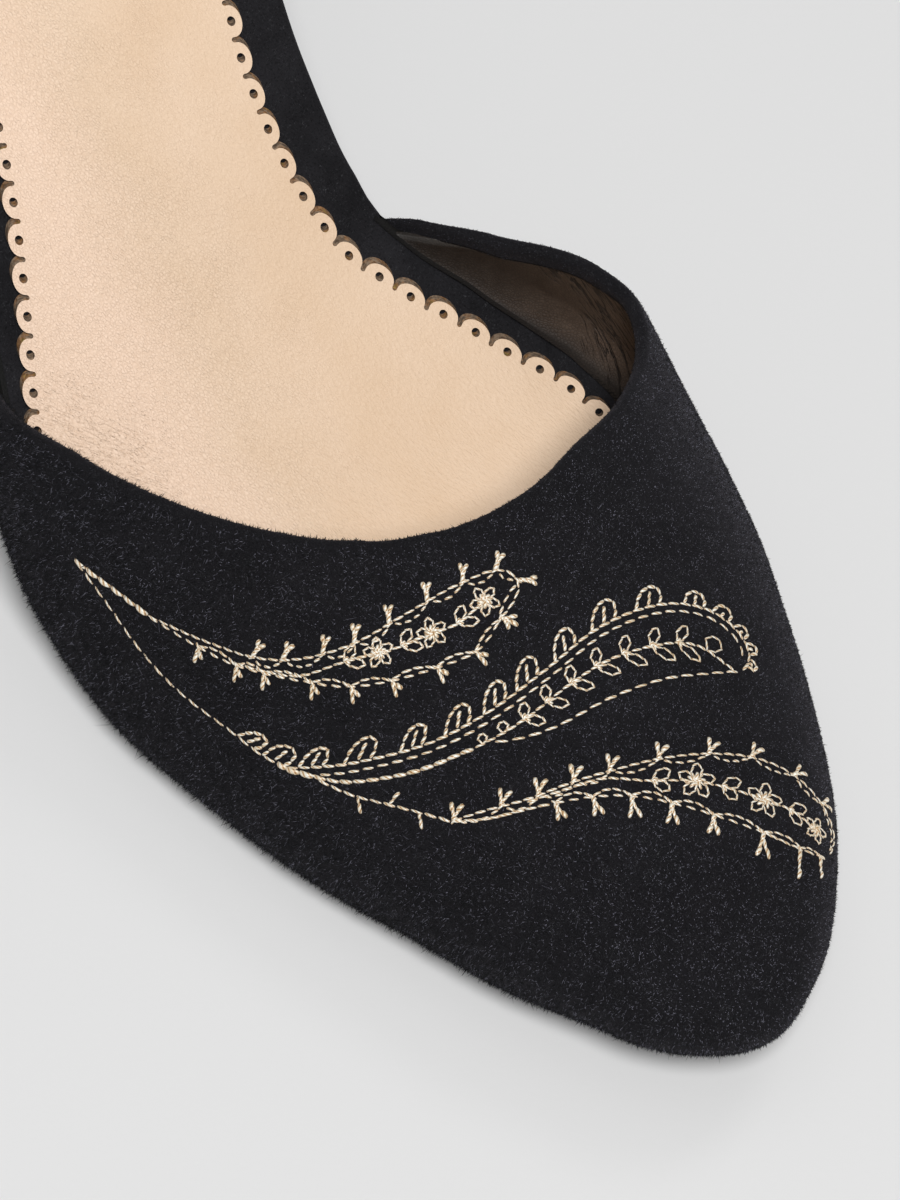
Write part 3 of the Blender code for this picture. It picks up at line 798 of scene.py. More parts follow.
def heel_sides(bottom, levels):
    """Outer points of the heel at each level, from the lateral breast round to the medial breast."""
    flare = smooth(HEEL_FLARE["rise"], HEEL_FLARE["flare"])(levels)
    columns = heel_columns(40)
    walks = []
    for (foot_x, foot_y), seat_x, lateral, medial in columns:
        seat_z = float(ground(seat_x)) + SOLE
        walks.append([[(foot_x + (seat_x - foot_x) * f, foot_side + (seat_side - foot_side) * f,
                        bottom + (seat_z - bottom) * rise) for rise, f in zip(levels, flare)]
                      for foot_side, seat_side in ((-foot_y, -lateral), (foot_y, medial))])
    walks = np.array(walks)
    return np.concatenate([walks[:, 0], walks[::-1, 1]], axis=0)


def make_heel(finish):
    """The covered heel. Returns its face, as points and normals, for the nap."""
    bottom = TOP_PIECE + SEAM
    levels = np.linspace(0, 1, 34)
    sides = heel_sides(bottom, levels)
    centre = sides.mean(axis=0, keepdims=True)
    first, last = sides[:1], sides[-1:]
    blend = np.linspace(0, 1, 16)[1:-1, None, None]
    breast = last * (1 - blend) + first * blend
    hollow = 4 * blend * (1 - blend)
    breast[..., 0] -= (hollow * BREAST_HOLLOW)[..., 0]
    ring = np.concatenate([sides, breast], axis=0).transpose(1, 0, 2)
    piece("heel_cover", mesh_from(loft(ring)), finish, ["heel"], sharp=35)
    points = np.concatenate([sides, breast, sides[:1]], axis=0)
    out = unit(np.cross(np.gradient(points, axis=0), np.gradient(points, axis=1)))
    outside = np.sum(out * (points - centre), axis=2)
    return points, np.where(outside.mean() < 0, -out, out)


def make_top_piece(finish):
    """The rubber under the heel."""
    sides = heel_sides(0.0, np.array([0.0]))[:, 0]
    middle = sides.mean(axis=0)
    rings = []
    for inset, level in zip(TOP_PIECE_RIM["inset"], TOP_PIECE_RIM["level"]):
        ring = middle + (sides - middle) * (1 - inset / TOP_PIECE_HALF)
        ring[:, 2] = level
        rings.append(ring)
    piece("top_lift", mesh_from(loft(rings)), finish, ["top_piece"], sharp=35)


# ---- embroidery -------------------------------------------------------------------------------------

THIN_THREAD = 0.165     # half widths of the threads
MID_THREAD = 0.21
THICK_THREAD = 0.3
SPINE_THREAD = 0.36
OUTLINE_THREAD = THIN_THREAD * 0.85     # round leaves and petals
LAY = 0.07              # each stitch lies across its line by this much at both ends
UNEVEN = (0.88, 1.12)   # and its thickness varies by these shares
STEP = 0.4              # between the points of a guide
LOOK = 0.6              # a guide's direction is taken this far ahead and behind
CEILING = 60.0          # the vamp is lower than this over its widest line


def skin_at(plan):
    """Points of the vamp's outer skin over these places in plan."""
    plan = np.asarray(plan, dtype=float)
    x, y = plan[..., 0], plan[..., 1]
    low = np.zeros(x.shape)
    high = np.full(x.shape, CEILING)
    for _ in range(HALVINGS):
        middle = (low + high) / 2
        within = inside_last(x, y, middle)
        low = np.where(within, middle, low)
        high = np.where(within, high, middle)
    return raised(np.stack([x, y, low], axis=-1))


def skin_normal(plan):
    """The way out of the skin over these places in plan."""
    run = skin_at(plan + (STEP, 0)) - skin_at(plan - (STEP, 0))
    rise = skin_at(plan + (0, STEP)) - skin_at(plan - (0, STEP))
    return unit(np.cross(run, rise))


class Line:
    """A guide on the vamp: a smooth curve in plan, laid on the skin, with its own length."""

    def __init__(self, plan):
        self.points = skin_at(curve_through(plan, STEP))
        self.length = arc_length(self.points)[-1]

    def at(self, places):
        """Points at these distances from its start."""
        return along(self.points, np.atleast_1d(places))

    def part(self, start, stop):
        """Its points between two distances."""
        return self.at(np.arange(start, stop, STEP))

    def frames(self, places):
        """Points, the way along and the way to the left in the skin."""
        places = np.atleast_1d(places)
        points = self.at(places)
        ahead = self.at(np.minimum(places + LOOK, self.length))
        forward = unit(ahead - self.at(np.maximum(places - LOOK, 0)))
        normal = skin_normal(points[:, :2])
        left = unit(np.cross(normal, forward))
        return points, forward, left

    def spot(self, place):
        """The point at one place, with its way along and its way to the left."""
        return tuple(rows[0] for rows in self.frames(place))


stitches = []           # start, end and half width of every stitch, on the skin


def stitch(start, end, thread, overlap=0.0):
    """One stitch, drawn out by overlap at both ends."""
    start, end = np.asarray(start), np.asarray(end)
    way = unit(end - start)
    stitches.append((start - way * overlap, end + way * overlap, thread))


def sew(points, thread, length=1.5, space=0.25):
    """A run of stitches along a polyline, with a little space between them."""
    total = arc_length(points)[-1]
    count = max(1, int(round(total / (length + space))))
    step = total / count
    starts = step * np.arange(count) + space / 2
    heads = along(points, starts)
    tails = along(points, starts + step - space)
    for head, tail in zip(heads, tails):
        stitch(head, tail, thread)


def motif(spot, shape):
    """Points of a small motif, given as (along, left) in the skin from a spot of a guide."""
    point, forward, left = spot
    flat = np.array([point + forward * a + left * b for a, b in shape])
    return skin_at(flat[:, :2])


def beside(line, offset, start, stop):
    """The guide from start to stop, moved to its left by offset."""
    points, _, left = line.frames(np.arange(start, stop + 0.01, STEP))
    moved = points + left * offset
    return skin_at(moved[:, :2])


def sprig(spot, side, stem, prongs):
    """A stem and its buds, each as (angle ahead, length), on the given side of the guide (1 is left).

    A small stitch crosses its foot. A bud is a stitch that runs into a thicker one.
    """
    def step(angle, reach):
        return np.array((reach * math.sin(angle), side * reach * math.cos(angle)))

    fork = step(*stem)
    shape = [(0, 0), fork, (-0.45, -0.35 * side), (0.5, 0.3 * side)]
    for angle, length in prongs:
        shape += [fork * 0.6, fork + step(angle, 0.5 * length), fork + step(angle, 0.36 * length),
                  fork + step(angle, length)]
    points = motif(spot, shape)
    if stem[1] > 0.4:
        stitch(points[0], points[1], THICK_THREAD)
    stitch(points[2], points[3], THIN_THREAD)
    for first in range(4, len(points), 4):
        stitch(points[first], points[first + 1], MID_THREAD)
        stitch(points[first + 2], points[first + 3], THICK_THREAD)


PETALS = 5
FIRST_PETAL = 0.3       # angle of a flower's first petal from the way ahead
# Outline of a leaf or petal, in shares of its length and of its width.
LEAF = ((0.0, 0.0), (0.42, 0.5), (0.8, 0.38), (1.0, 0.0), (0.72, -0.46), (0.32, -0.36), (0.0, 0.0))


def loop(spot, angle, length, width):
    """The outline of a leaf or petal, sewn from six stitches."""
    shape = []
    for a, b in LEAF:
        a, b = a * length, b * width
        shape.append((a * math.cos(angle) - b * math.sin(angle), a * math.sin(angle) + b * math.cos(angle)))
    points = motif(spot, shape)
    for head, tail in zip(points, points[1:]):
        stitch(head, tail, OUTLINE_THREAD, 0.06)


def leaf_pair(line, place, front=(0.72, 2.5, 1.35), back=(-0.38, 2.8, 1.3)):
    """Two outlined leaves from one point of a vine: angle, length and width of each."""
    spot = line.spot(place)
    for angle, length, width in (front, back):
        loop(spot, angle, length, width)
        inner = motif(spot, [(0, 0), (0.8 * math.cos(angle), 0.8 * math.sin(angle))])
        stitch(inner[0], inner[1], MID_THREAD)


def flower(line, place, reach):
    """Outlined petals round a star of stitches."""
    spot = line.spot(place)
    for k in range(PETALS):
        angle = FIRST_PETAL + 2 * math.pi * k / PETALS
        loop(spot, angle, reach, 0.58 * reach)
        inner = 0.5 * reach
        heart = motif(spot, [(0, 0), (inner * math.cos(angle), inner * math.sin(angle))])
        stitch(heart[0], heart[1], MID_THREAD * 1.15)


def arch(line, place, width, height, lean):
    """A rounded shell on the guide's left, its crown leaning ahead, with a short inner line."""
    spot = line.spot(min(place, line.length))
    skew = lean / height
    half = width / 2
    crown = max(height - half, 0.3 * height)
    turned = np.linspace(math.pi, 0, 9)
    shape = [(-half, 0.0), (-half, crown * 0.55)]
    shape += [(half * math.cos(a), crown + (height - crown) * math.sin(a)) for a in turned]
    shape += [(half, crown * 0.45), (half * 0.9, 0.15)]
    shape = [(a + skew * b, b) for a, b in shape]
    sew(motif(spot, shape), MID_THREAD * 1.05, 1.15, 0.1)
    core = motif(spot, [(skew * height * b, height * b) for b in (0.1, 0.45, 0.74)])
    stitch(core[0], core[1], MID_THREAD * 1.05, 0.03)
    if height > 2:
        stitch(core[1], core[2], MID_THREAD * 1.05, 0.03)


def bowed(line, ends, depth, side):
    """Arcs from base to base of the sprigs, bowed towards the inside of the motif."""
    points = []
    share = np.linspace(0, 1, 13)
    bow = side * depth * np.sin(math.pi * share) ** 0.8
    for start, stop in zip(ends, ends[1:]):
        at, _, left = line.frames(np.linspace(start, stop, len(share)))
        points.append(skin_at((at + left * bow[:, None])[:, :2]))
    return points


def feather_edge(line, bases, side, solid, depth, stem, prongs, sizes=(1.0,), last=None):
    """One edge of a feather: a line through the sprigs, and arcs between them and on to last.

    The line is unbroken and the arcs broken if solid, and the other way round if not.
    """
    arcs = bowed(line, list(bases) + [last or line.length], depth, -side)
    if solid:
        sew(line.points, THIN_THREAD, 1.45, 0.15)
        for each in arcs:
            length = arc_length(each)[-1]
            sew(along(each, np.linspace(0.5, length - 0.4, 8)), THIN_THREAD, 0.95, 0.45)
    else:
        sew(line.points, THIN_THREAD, 1.3, 0.6)
        for each in arcs:
            sew(each, THIN_THREAD, 1.25, 0.15)
    for k, place in enumerate(bases):
        size = sizes[min(k, len(sizes) - 1)]
        buds = [(angle, length * size) for angle, length in prongs]
        sprig(line.spot(place), side, (stem[0], stem[1] * size), buds)


# Guides of the embroidery, in plan. All three motifs spring from one point on the lateral side.
SPRING = (-12.7, -45.5)
SPINE = (SPRING, (-9.6, -44.4), (-5.3, -42.6), (-1.4, -40.9))
BACK_UPPER = ((-1.4, -41.0), (7.0, -36.0), (12.0, -32.5), (16.0, -27.8), (18.5, -21.6), (19.2, -14.5),
              (19.5, -7.0), (20.5, -1.2), (22.6, 0.0), (24.5, -1.9), (25.5, -4.5))
BACK_LOWER = ((-1.4, -41.0), (6.0, -37.5), (11.0, -34.8), (18.7, -28.5), (22.4, -24.5), (25.0, -19.5),
              (26.7, -14.0), (27.5, -9.2), (26.7, -6.5), (25.5, -4.5))
BACK_VINE = ((10.5, -35.0), (14.0, -32.3), (17.4, -29.0), (19.4, -24.1), (21.1, -19.8), (22.0, -17.4),
             (22.8, -12.7), (23.5, -9.9), (22.7, -4.9))
RUN = (SPRING, (-5.2, -44.2), (1.3, -43.1), (8.3, -41.4), (16.4, -38.5), (20.8, -37.0), (24.5, -35.2))
MIDDLE_UPPER = ((24.5, -35.2), (27.4, -31.9), (30.0, -28.2), (33.7, -19.8), (34.6, -12.0), (33.5, -2.2),
                (31.8, 6.0), (31.7, 14.0), (32.8, 18.8), (35.2, 22.3), (38.5, 23.8), (41.5, 23.3),
                (43.0, 21.4))
MIDDLE_LOWER = ((24.5, -35.3), (27.3, -33.3), (30.7, -30.5), (33.6, -26.5), (35.9, -21.8), (37.5, -15.0))
MIDDLE_CLOSE = ((38.1, -12.7), (39.4, -9.7), (40.4, -4.8), (40.3, 3.0), (40.9, 11.0), (42.1, 16.3),
                (43.0, 20.8))
MIDDLE_VINE = ((37.5, -15.0), (37.8, -10.5), (37.5, -6.5), (36.5, -0.5), (35.9, 5.5), (36.4, 11.4),
               (37.3, 15.4), (38.6, 17.6), (42.8, 20.2))
FRONT_STEM = ((28.3, -32.8), (32.5, -30.4), (36.5, -27.3), (40.3, -24.2), (43.3, -21.8))
FRONT_UPPER = ((43.3, -21.8), (45.1, -16.6), (46.5, -12.5), (47.6, -6.3), (48.6, -1.6), (50.0, 4.8),
               (52.0, 11.1), (54.6, 16.5), (58.0, 20.2), (62.2, 22.0), (65.5, 21.7), (68.1, 19.5))
FRONT_LOWER = ((43.3, -21.8), (45.8, -17.8), (47.3, -13.8), (50.5, -5.2), (52.7, -0.9), (55.8, 3.1),
               (59.6, 7.2), (63.8, 11.6), (67.3, 15.4), (68.8, 18.3))
FRONT_VINE = ((46.8, -12.8), (48.0, -7.5), (49.0, -3.0), (52.0, 2.1), (54.5, 7.4), (56.3, 9.8),
              (59.9, 14.2), (62.0, 16.7), (65.4, 19.2))

# Places of the sprigs along their guides.
BACK_UPPER_SPRIGS = (15.5, 19.7, 25.1, 29.5, 34.6, 40.2, 45.3, 49.8, 53.2)
BACK_LOWER_SPRIGS = (8.0, 13.8, 17.7, 24.4, 29.6, 34.9, 40.9, 46.2)
FRONT_UPPER_SPRIGS = (0.4, 6.7, 11.6, 16.4, 21.2, 27.7, 34.4, 40.2, 46.5, 51.8)
FRONT_LOWER_SPRIGS = (13.5, 18.3, 23.2, 28.4, 33.9, 40.6)
FRONT_TIP_SPRIGS = (5.6, 9.0)
STEM_TWIGS = ((6.0, -1), (10.4, 1), (14.5, -1))     # place, and side of the stem
# Places of leaves and flowers, by turns, as shares of a feather's vine, and of the leaf's pairs.
BACK_TURNS = (0.435, 0.565, 0.65, 0.77, 0.866, 0.995)
FRONT_TURNS = (0.413, 0.556, 0.64, 0.785, 0.875, 0.99)
LEAF_PLACES = (7.3, 10.9, 14.9, 18.9, 22.9, 26.9, 30.6)
VINE_ENDS = ((1.2, 1.2, 1.3), (4.1, 1.1, 1.5), (34.9, 1.3, 2.6))      # single leaves: place, angle, size
RUN_TURN = 38.6         # the run is sewn thick from here on
# Shells along the run and the leaf's upper line: place, width, height and how far the crown leans.
RUN_SHELLS = ((33.4, 2.9, 2.6, 1.9), (38.0, 3.4, 3.0, 1.8))
SHELLS = (
    (3.5, 3.4, 2.6, 2.0), (10.0, 3.7, 3.0, 2.2), (17.3, 2.9, 2.9, 1.8), (23.6, 3.4, 2.8, 1.9),
    (29.2, 3.3, 2.8, 1.9), (34.4, 3.4, 2.8, 1.9), (40.8, 3.6, 2.6, 1.7), (47.2, 3.7, 2.8, 1.7),
    (53.9, 3.6, 2.6, 1.2), (60.6, 2.9, 2.1, 0.2), (64.6, 2.6, 1.9, 0.2), (67.8, 2.1, 1.6, 0.0),
    (70.2, 1.7, 1.5, 0.0), (72.3, 1.4, 1.4, 0.0),
)


def sew_vine(guide):
    """The line of a vine, ready for its leaves and flowers."""
    line = Line(guide)
    sew(line.points, THIN_THREAD * 1.1, 1.4, 0.12)
    return line


def sew_feather_vine(guide, turns, leaves=(), reaches=(2.0, 2.0, 2.0)):
    """Leaves and flowers by turns along a feather's vine, at these shares of its length."""
    vine = sew_vine(guide)
    for k, share in enumerate(turns):
        if k % 2:
            flower(vine, vine.length * share, reaches[k // 2])
        else:
            leaf_pair(vine, vine.length * share, *leaves)


def sew_back_feather():
    """The feather nearest the throat."""
    spine = Line(SPINE)
    sew(spine.points, SPINE_THREAD, 1.9, 0.1)
    upper = Line(BACK_UPPER)
    lower = Line(BACK_LOWER)
    feather_edge(upper, BACK_UPPER_SPRIGS, 1, True, depth=1.05, stem=(0.45, 1.15),
                 prongs=((0.1, 1.35), (0.85, 1.35)))
    feather_edge(lower, BACK_LOWER_SPRIGS, -1, False, depth=0.8, stem=(0.2, 0.25),
                 prongs=((0.15, 1.95), (0.87, 1.5)))
    sprig(upper.spot(upper.length - 0.2), 1, (-0.5, 0.5), ((-1.0, 1.7), (-0.3, 1.9), (0.4, 1.4)))
    sew_feather_vine(BACK_VINE, BACK_TURNS)


def sew_middle_leaf():
    """The leaf edged with shells, and the long run to it."""
    run = Line(RUN)
    sew(run.part(0.0, RUN_TURN), THIN_THREAD * 1.05, 1.75, 0.35)
    upper = Line(MIDDLE_UPPER)
    sew(upper.points, THIN_THREAD * 1.15, 1.6, 0.12)
    sew(beside(upper, -1.05, 2.5, upper.length - 1.5), THIN_THREAD * 1.05, 1.5, 0.5)
    for place, width, height, lean in RUN_SHELLS:
        arch(run, place, width, height, lean)
    for place, width, height, lean in SHELLS:
        arch(upper, place, width, height, lean)
    lower = Line(MIDDLE_LOWER)
    sew(run.part(RUN_TURN, run.length + 0.2), SPINE_THREAD, 1.6, 0.05)
    sew(lower.part(0.0, 4.1), SPINE_THREAD, 1.6, 0.05)
    sew(lower.part(4.0, lower.length + 0.1), THICK_THREAD * 0.9, 1.7, 0.08)
    sew(Line(MIDDLE_CLOSE).points, THIN_THREAD * 1.1, 1.7, 0.45)
    vine = sew_vine(MIDDLE_VINE)
    for place in LEAF_PLACES:
        share = (place - LEAF_PLACES[0]) / (LEAF_PLACES[-1] - LEAF_PLACES[0])
        leaf_pair(vine, place, (0.95, 2.2 + 0.7 * share, 1.4), (-0.74, 2.7 + 1.1 * share, 1.35))
    for place, angle, size in VINE_ENDS:
        loop(vine.spot(place), angle, size, size * 0.95)


def sew_front_feather():
    """The feather that runs round the toe."""
    stem = Line(FRONT_STEM)
    sew(stem.points, THIN_THREAD * 1.1, 1.7, 0.2)
    for place, side in STEM_TWIGS:
        twig = motif(stem.spot(place), [(0, 0), (0.35, side * 0.8), (0.9, side * 1.9)])
        stitch(twig[0], twig[1], MID_THREAD)
        stitch(twig[1], twig[2], THICK_THREAD * 0.85)
    upper = Line(FRONT_UPPER)
    lower = Line(FRONT_LOWER)
    feather_edge(upper, FRONT_UPPER_SPRIGS, 1, True, depth=1.0, stem=(0.35, 0.55),
                 prongs=((0.08, 1.8), (0.95, 1.9)))
    sew(lower.part(0.0, 13.0), THIN_THREAD * 1.1, 1.6, 0.1)
    feather_edge(lower, FRONT_LOWER_SPRIGS, -1, False, depth=0.9, stem=(0.2, 0.75),
                 prongs=((-0.12, 1.55), (0.62, 1.7)), sizes=(1.0, 1.1, 1.3, 1.25, 1.15, 1.5), last=46.5)
    feather_edge(Line(FRONT_LOWER[-3:]), FRONT_TIP_SPRIGS, -1, False, depth=0.6, stem=(0.1, 1.5),
                 prongs=((0.05, 2.0),), sizes=(1.2, 0.85))
    sew_feather_vine(FRONT_VINE, FRONT_TURNS, leaves=((0.6, 2.8, 1.6), (-0.5, 2.5, 1.5)),
                     reaches=(2.5, 2.5, 1.9))


def make_stitches(name, sewn, finish, seed):
    """Every stitch as one twisted thread that dips into the suede at both ends."""
    rng = np.random.default_rng(seed)
    shape = bmesh.new()
    bmesh.ops.create_uvsphere(shape, u_segments=6, v_segments=6, radius=0.5)
    bmesh.ops.rotate(shape, verts=shape.verts, matrix=Matrix.Rotation(math.pi / 2, 3, "Y"))
    bmesh.ops.triangulate(shape, faces=shape.faces)
    shape.verts.ensure_lookup_table()
    local = np.array([vert.co for vert in shape.verts])
    faces = np.array([[vert.index for vert in face.verts] for face in shape.faces])
    shape.free()
    starts = np.array([each[0] for each in sewn])
    ends = np.array([each[1] for each in sewn])
    across = unit(np.cross(skin_normal((starts + ends)[:, :2] / 2), ends - starts)) * LAY
    starts = starts + across
    ends = ends - across
    half = np.array([each[2] for each in sewn])[:, None, None] * rng.uniform(*UNEVEN, (len(sewn), 1, 1))
    middle = (starts + ends) / 2
    length = np.linalg.norm(ends - starts, axis=1)[:, None, None] + half * 0.8
    forward = unit(ends - starts)
    normal = skin_normal(middle[:, :2])
    aside = unit(np.cross(normal, forward))
    up = np.cross(forward, aside)
    x = local[None, :, :1]
    # Blunter ends than a ball's, a slight arch along the stitch, and a section that lies a little flat.
    fat = (1 - (2 * np.abs(x)) ** 3).clip(0) ** 0.5 / (1 - (2 * np.abs(x)) ** 2).clip(1e-6) ** 0.5
    fat = np.where(np.abs(x) > 0.49, 0, fat)
    lift = half * 0.75 * (1 - (2 * x) ** 2) - half * 0.35 * (2 * x) ** 2
    verts = (middle[:, None] + forward[:, None] * x * length
             + aside[:, None] * local[None, :, 1:2] * 2 * half * fat
             + up[:, None] * (local[None, :, 2:] * 0.85 * half * fat + lift))
    angle = np.arctan2(local[:, 1], local[:, 2])[None, :, None] / (2 * math.pi)
    thread = np.concatenate([x * length, angle + 0 * length, rng.random((len(sewn), 1, 1)) + 0 * x], axis=2)
    offsets = (np.arange(len(sewn)) * len(local))[:, None, None]
    mesh = joined(verts.reshape(-1, 3), [(faces[None] + offsets).reshape(-1, 3)],
                  [("thread", thread.reshape(-1, 3)), ("ends", np.tile(np.abs(2 * x).ravel(), len(sewn)))])
    return piece(name, mesh, finish)


# ---- finishes ---------------------------------------------------------------------------------------

class Finish:
    """A material made of nodes, with short ways to add and join them."""

    def __init__(self, name):
        self.material = bpy.data.materials.new(name)
        self.material.use_nodes = True
        self.nodes = self.material.node_tree.nodes
        self.links = self.material.node_tree.links
        self.shader = self.nodes["Principled BSDF"]

    def add(self, kind, inputs=None, **settings):
        """A node with settings, and inputs given by name or number as values or as other sockets."""
        node = self.nodes.new("ShaderNode" + kind)
        for key, value in settings.items():
            setattr(node, key, value)
        for key, value in (inputs or {}).items():
            self.feed(node.inputs[key], value)
        return node

    def feed(self, socket, value):
        """Joins another socket to this one, or sets its value."""
        if isinstance(value, bpy.types.NodeSocket):
            self.links.new(value, socket)
        else:
            socket.default_value = value

    def place(self, size=1.0, stretch=(1, 1, 1), turned=(0, 0, 0), where=None, unit_size=MM):
        """Places on the piece, counted in steps of size millimetres, stretched along turned axes."""
        if where is None:
            where = self.add("TexCoord").outputs["Object"]
        steps = tuple(size * unit_size * share for share in stretch)
        return self.add("Mapping", {"Vector": where, "Scale": steps, "Rotation": turned},
                        vector_type="TEXTURE").outputs["Vector"]

    def noise(self, where, detail=3.0, roughness=0.55, distortion=0.0):
        inputs = {"Vector": where, "Scale": 1.0, "Detail": detail, "Roughness": roughness,
                  "Distortion": distortion}
        return self.add("TexNoise", inputs).outputs["Fac"]

    def cells(self, where, randomness=1.0):
        """Distance from the walls of random cells."""
        inputs = {"Vector": where, "Scale": 1.0, "Randomness": randomness}
        return self.add("TexVoronoi", inputs, feature="DISTANCE_TO_EDGE").outputs["Distance"]

    def ramp(self, value, *stops):
        """Colours or greys at places from 0 to 1."""
        node = self.add("ValToRGB", {"Fac": value})
        while len(node.color_ramp.elements) < len(stops):
            node.color_ramp.elements.new(0.5)
        for element, (at, shade) in zip(node.color_ramp.elements, stops):
            element.position = at
            element.color = colour(shade) if isinstance(shade, float) else (*shade, 1.0)
        return node.outputs["Color"]

    def math(self, kind, *values):
        return self.add("Math", dict(enumerate(values)), operation=kind).outputs[0]

    def mix(self, share, first, second, kind="MIX"):
        """The second colour over the first."""
        node = self.add("Mix", {0: share, 6: first, 7: second}, data_type="RGBA", blend_type=kind)
        return node.outputs[2]

    def darken(self, shown, by, share=1.0):
        """A colour multiplied by another, or by this share of it."""
        return self.mix(share, shown, by, "MULTIPLY")

    def axes(self, where):
        """The three numbers of a place or a direction."""
        return self.add("SeparateXYZ", {"Vector": where}).outputs

    def bump(self, height, depth, strength=1.0, below=None):
        """A relief this many millimetres deep, over another one if given."""
        inputs = {"Height": height, "Distance": depth * MM, "Strength": strength}
        if below is not None:
            inputs["Normal"] = below
        return self.add("Bump", inputs).outputs["Normal"]

    def finish(self, **sockets):
        """Feeds the shader's own sockets, named with _ for a space."""
        for name, value in sockets.items():
            self.feed(self.shader.inputs[name.replace("_", " ")], value)
        return self.material


WHITE = (1.0, 1.0, 1.0)
HAIR_TINT = (0.97, 0.99, 1.06)      # of suede where its nap catches the light


def grey(level, tint=WHITE):
    """A grey of this level, a little tinted."""
    return tuple(level * share for share in tint)


def colour(level, tint=WHITE):
    """The same with its alpha, as a socket takes it."""
    return (*grey(level, tint), 1.0)


def suede(name, dark, light, tint, fleck=0.5, fine=1.0):
    """Brushed suede: short flecks that catch the light, and broad patches where the nap lies over."""
    made = Finish(name)
    flecks = made.noise(made.place(0.2 * fine, (1.0, 2.2, 1.6), (0.2, 0.3, 0.7)), 3.0, 0.6, 1.5)
    crossing = made.noise(made.place(0.2 * fine, (2.4, 0.9, 1.0), (0.5, 0.1, 0.2)), 3.0, 0.6, 1.5)
    grains = made.noise(made.place(0.22 * fine), 3.0, 0.7)
    patches = made.noise(made.place(9.0), 4.0, 0.6)
    crowded = made.noise(made.place(3.0), 2.0, 0.5)
    base = made.ramp(patches, (0.3, grey(dark, tint)), (0.72, grey(light, tint)))
    threads = made.math("MAXIMUM", flecks, crossing)
    threads = made.math("ADD", threads, made.math("MULTIPLY", made.math("SUBTRACT", crowded, 0.5), 0.12))
    lit = made.ramp(threads, (0.62, 0.0), (0.76, fleck))
    shown = made.mix(lit, base, colour(0.15, HAIR_TINT))
    pits = made.ramp(grains, (0.32, 0.4), (0.5, 1.0))
    shown = made.darken(shown, pits)
    rough = made.math("MULTIPLY_ADD", threads, 0.5, made.math("MULTIPLY", grains, 0.5))
    surface = made.bump(rough, 0.2, 0.9)
    surface = made.bump(patches, 0.5, 0.35, surface)
    return made.finish(Base_Color=shown, Roughness=0.93, Specular_IOR_Level=0.14, Normal=surface,
                       Sheen_Weight=0.08, Sheen_Roughness=0.4, Sheen_Tint=colour(0.6, tint))


def fibre_finish(name, dark, light, tint):
    """Single tufts of the nap, most of them dark and some that catch the light."""
    made = Finish(name)
    shade = made.add("Attribute", attribute_name="shade").outputs["Fac"]
    where = made.noise(made.place(2.5), 3.0, 0.6)
    spread = made.math("ADD", shade, made.math("MULTIPLY", made.math("SUBTRACT", where, 0.5), 0.35))
    # Painted light: the tufts are a little lighter away from the lateral side, where the light falls.
    across = made.axes(made.place(25.0))[1]
    spread = made.math("ADD", spread, made.ramp(made.math("ADD", across, 1.0), (0.0, 0.0), (1.0, 0.1)))
    shown = made.ramp(spread, (0.1, grey(dark, tint)), (0.66, grey(dark * 2.0, tint)),
                      (0.82, grey(light * 0.35, tint)), (1.0, grey(light, tint)))
    return made.finish(Base_Color=shown, Roughness=0.75, Specular_IOR_Level=0.25)


THROAT_SHADE_LENGTH = 60.0      # the lining's painted shade is spread over this length behind the tread
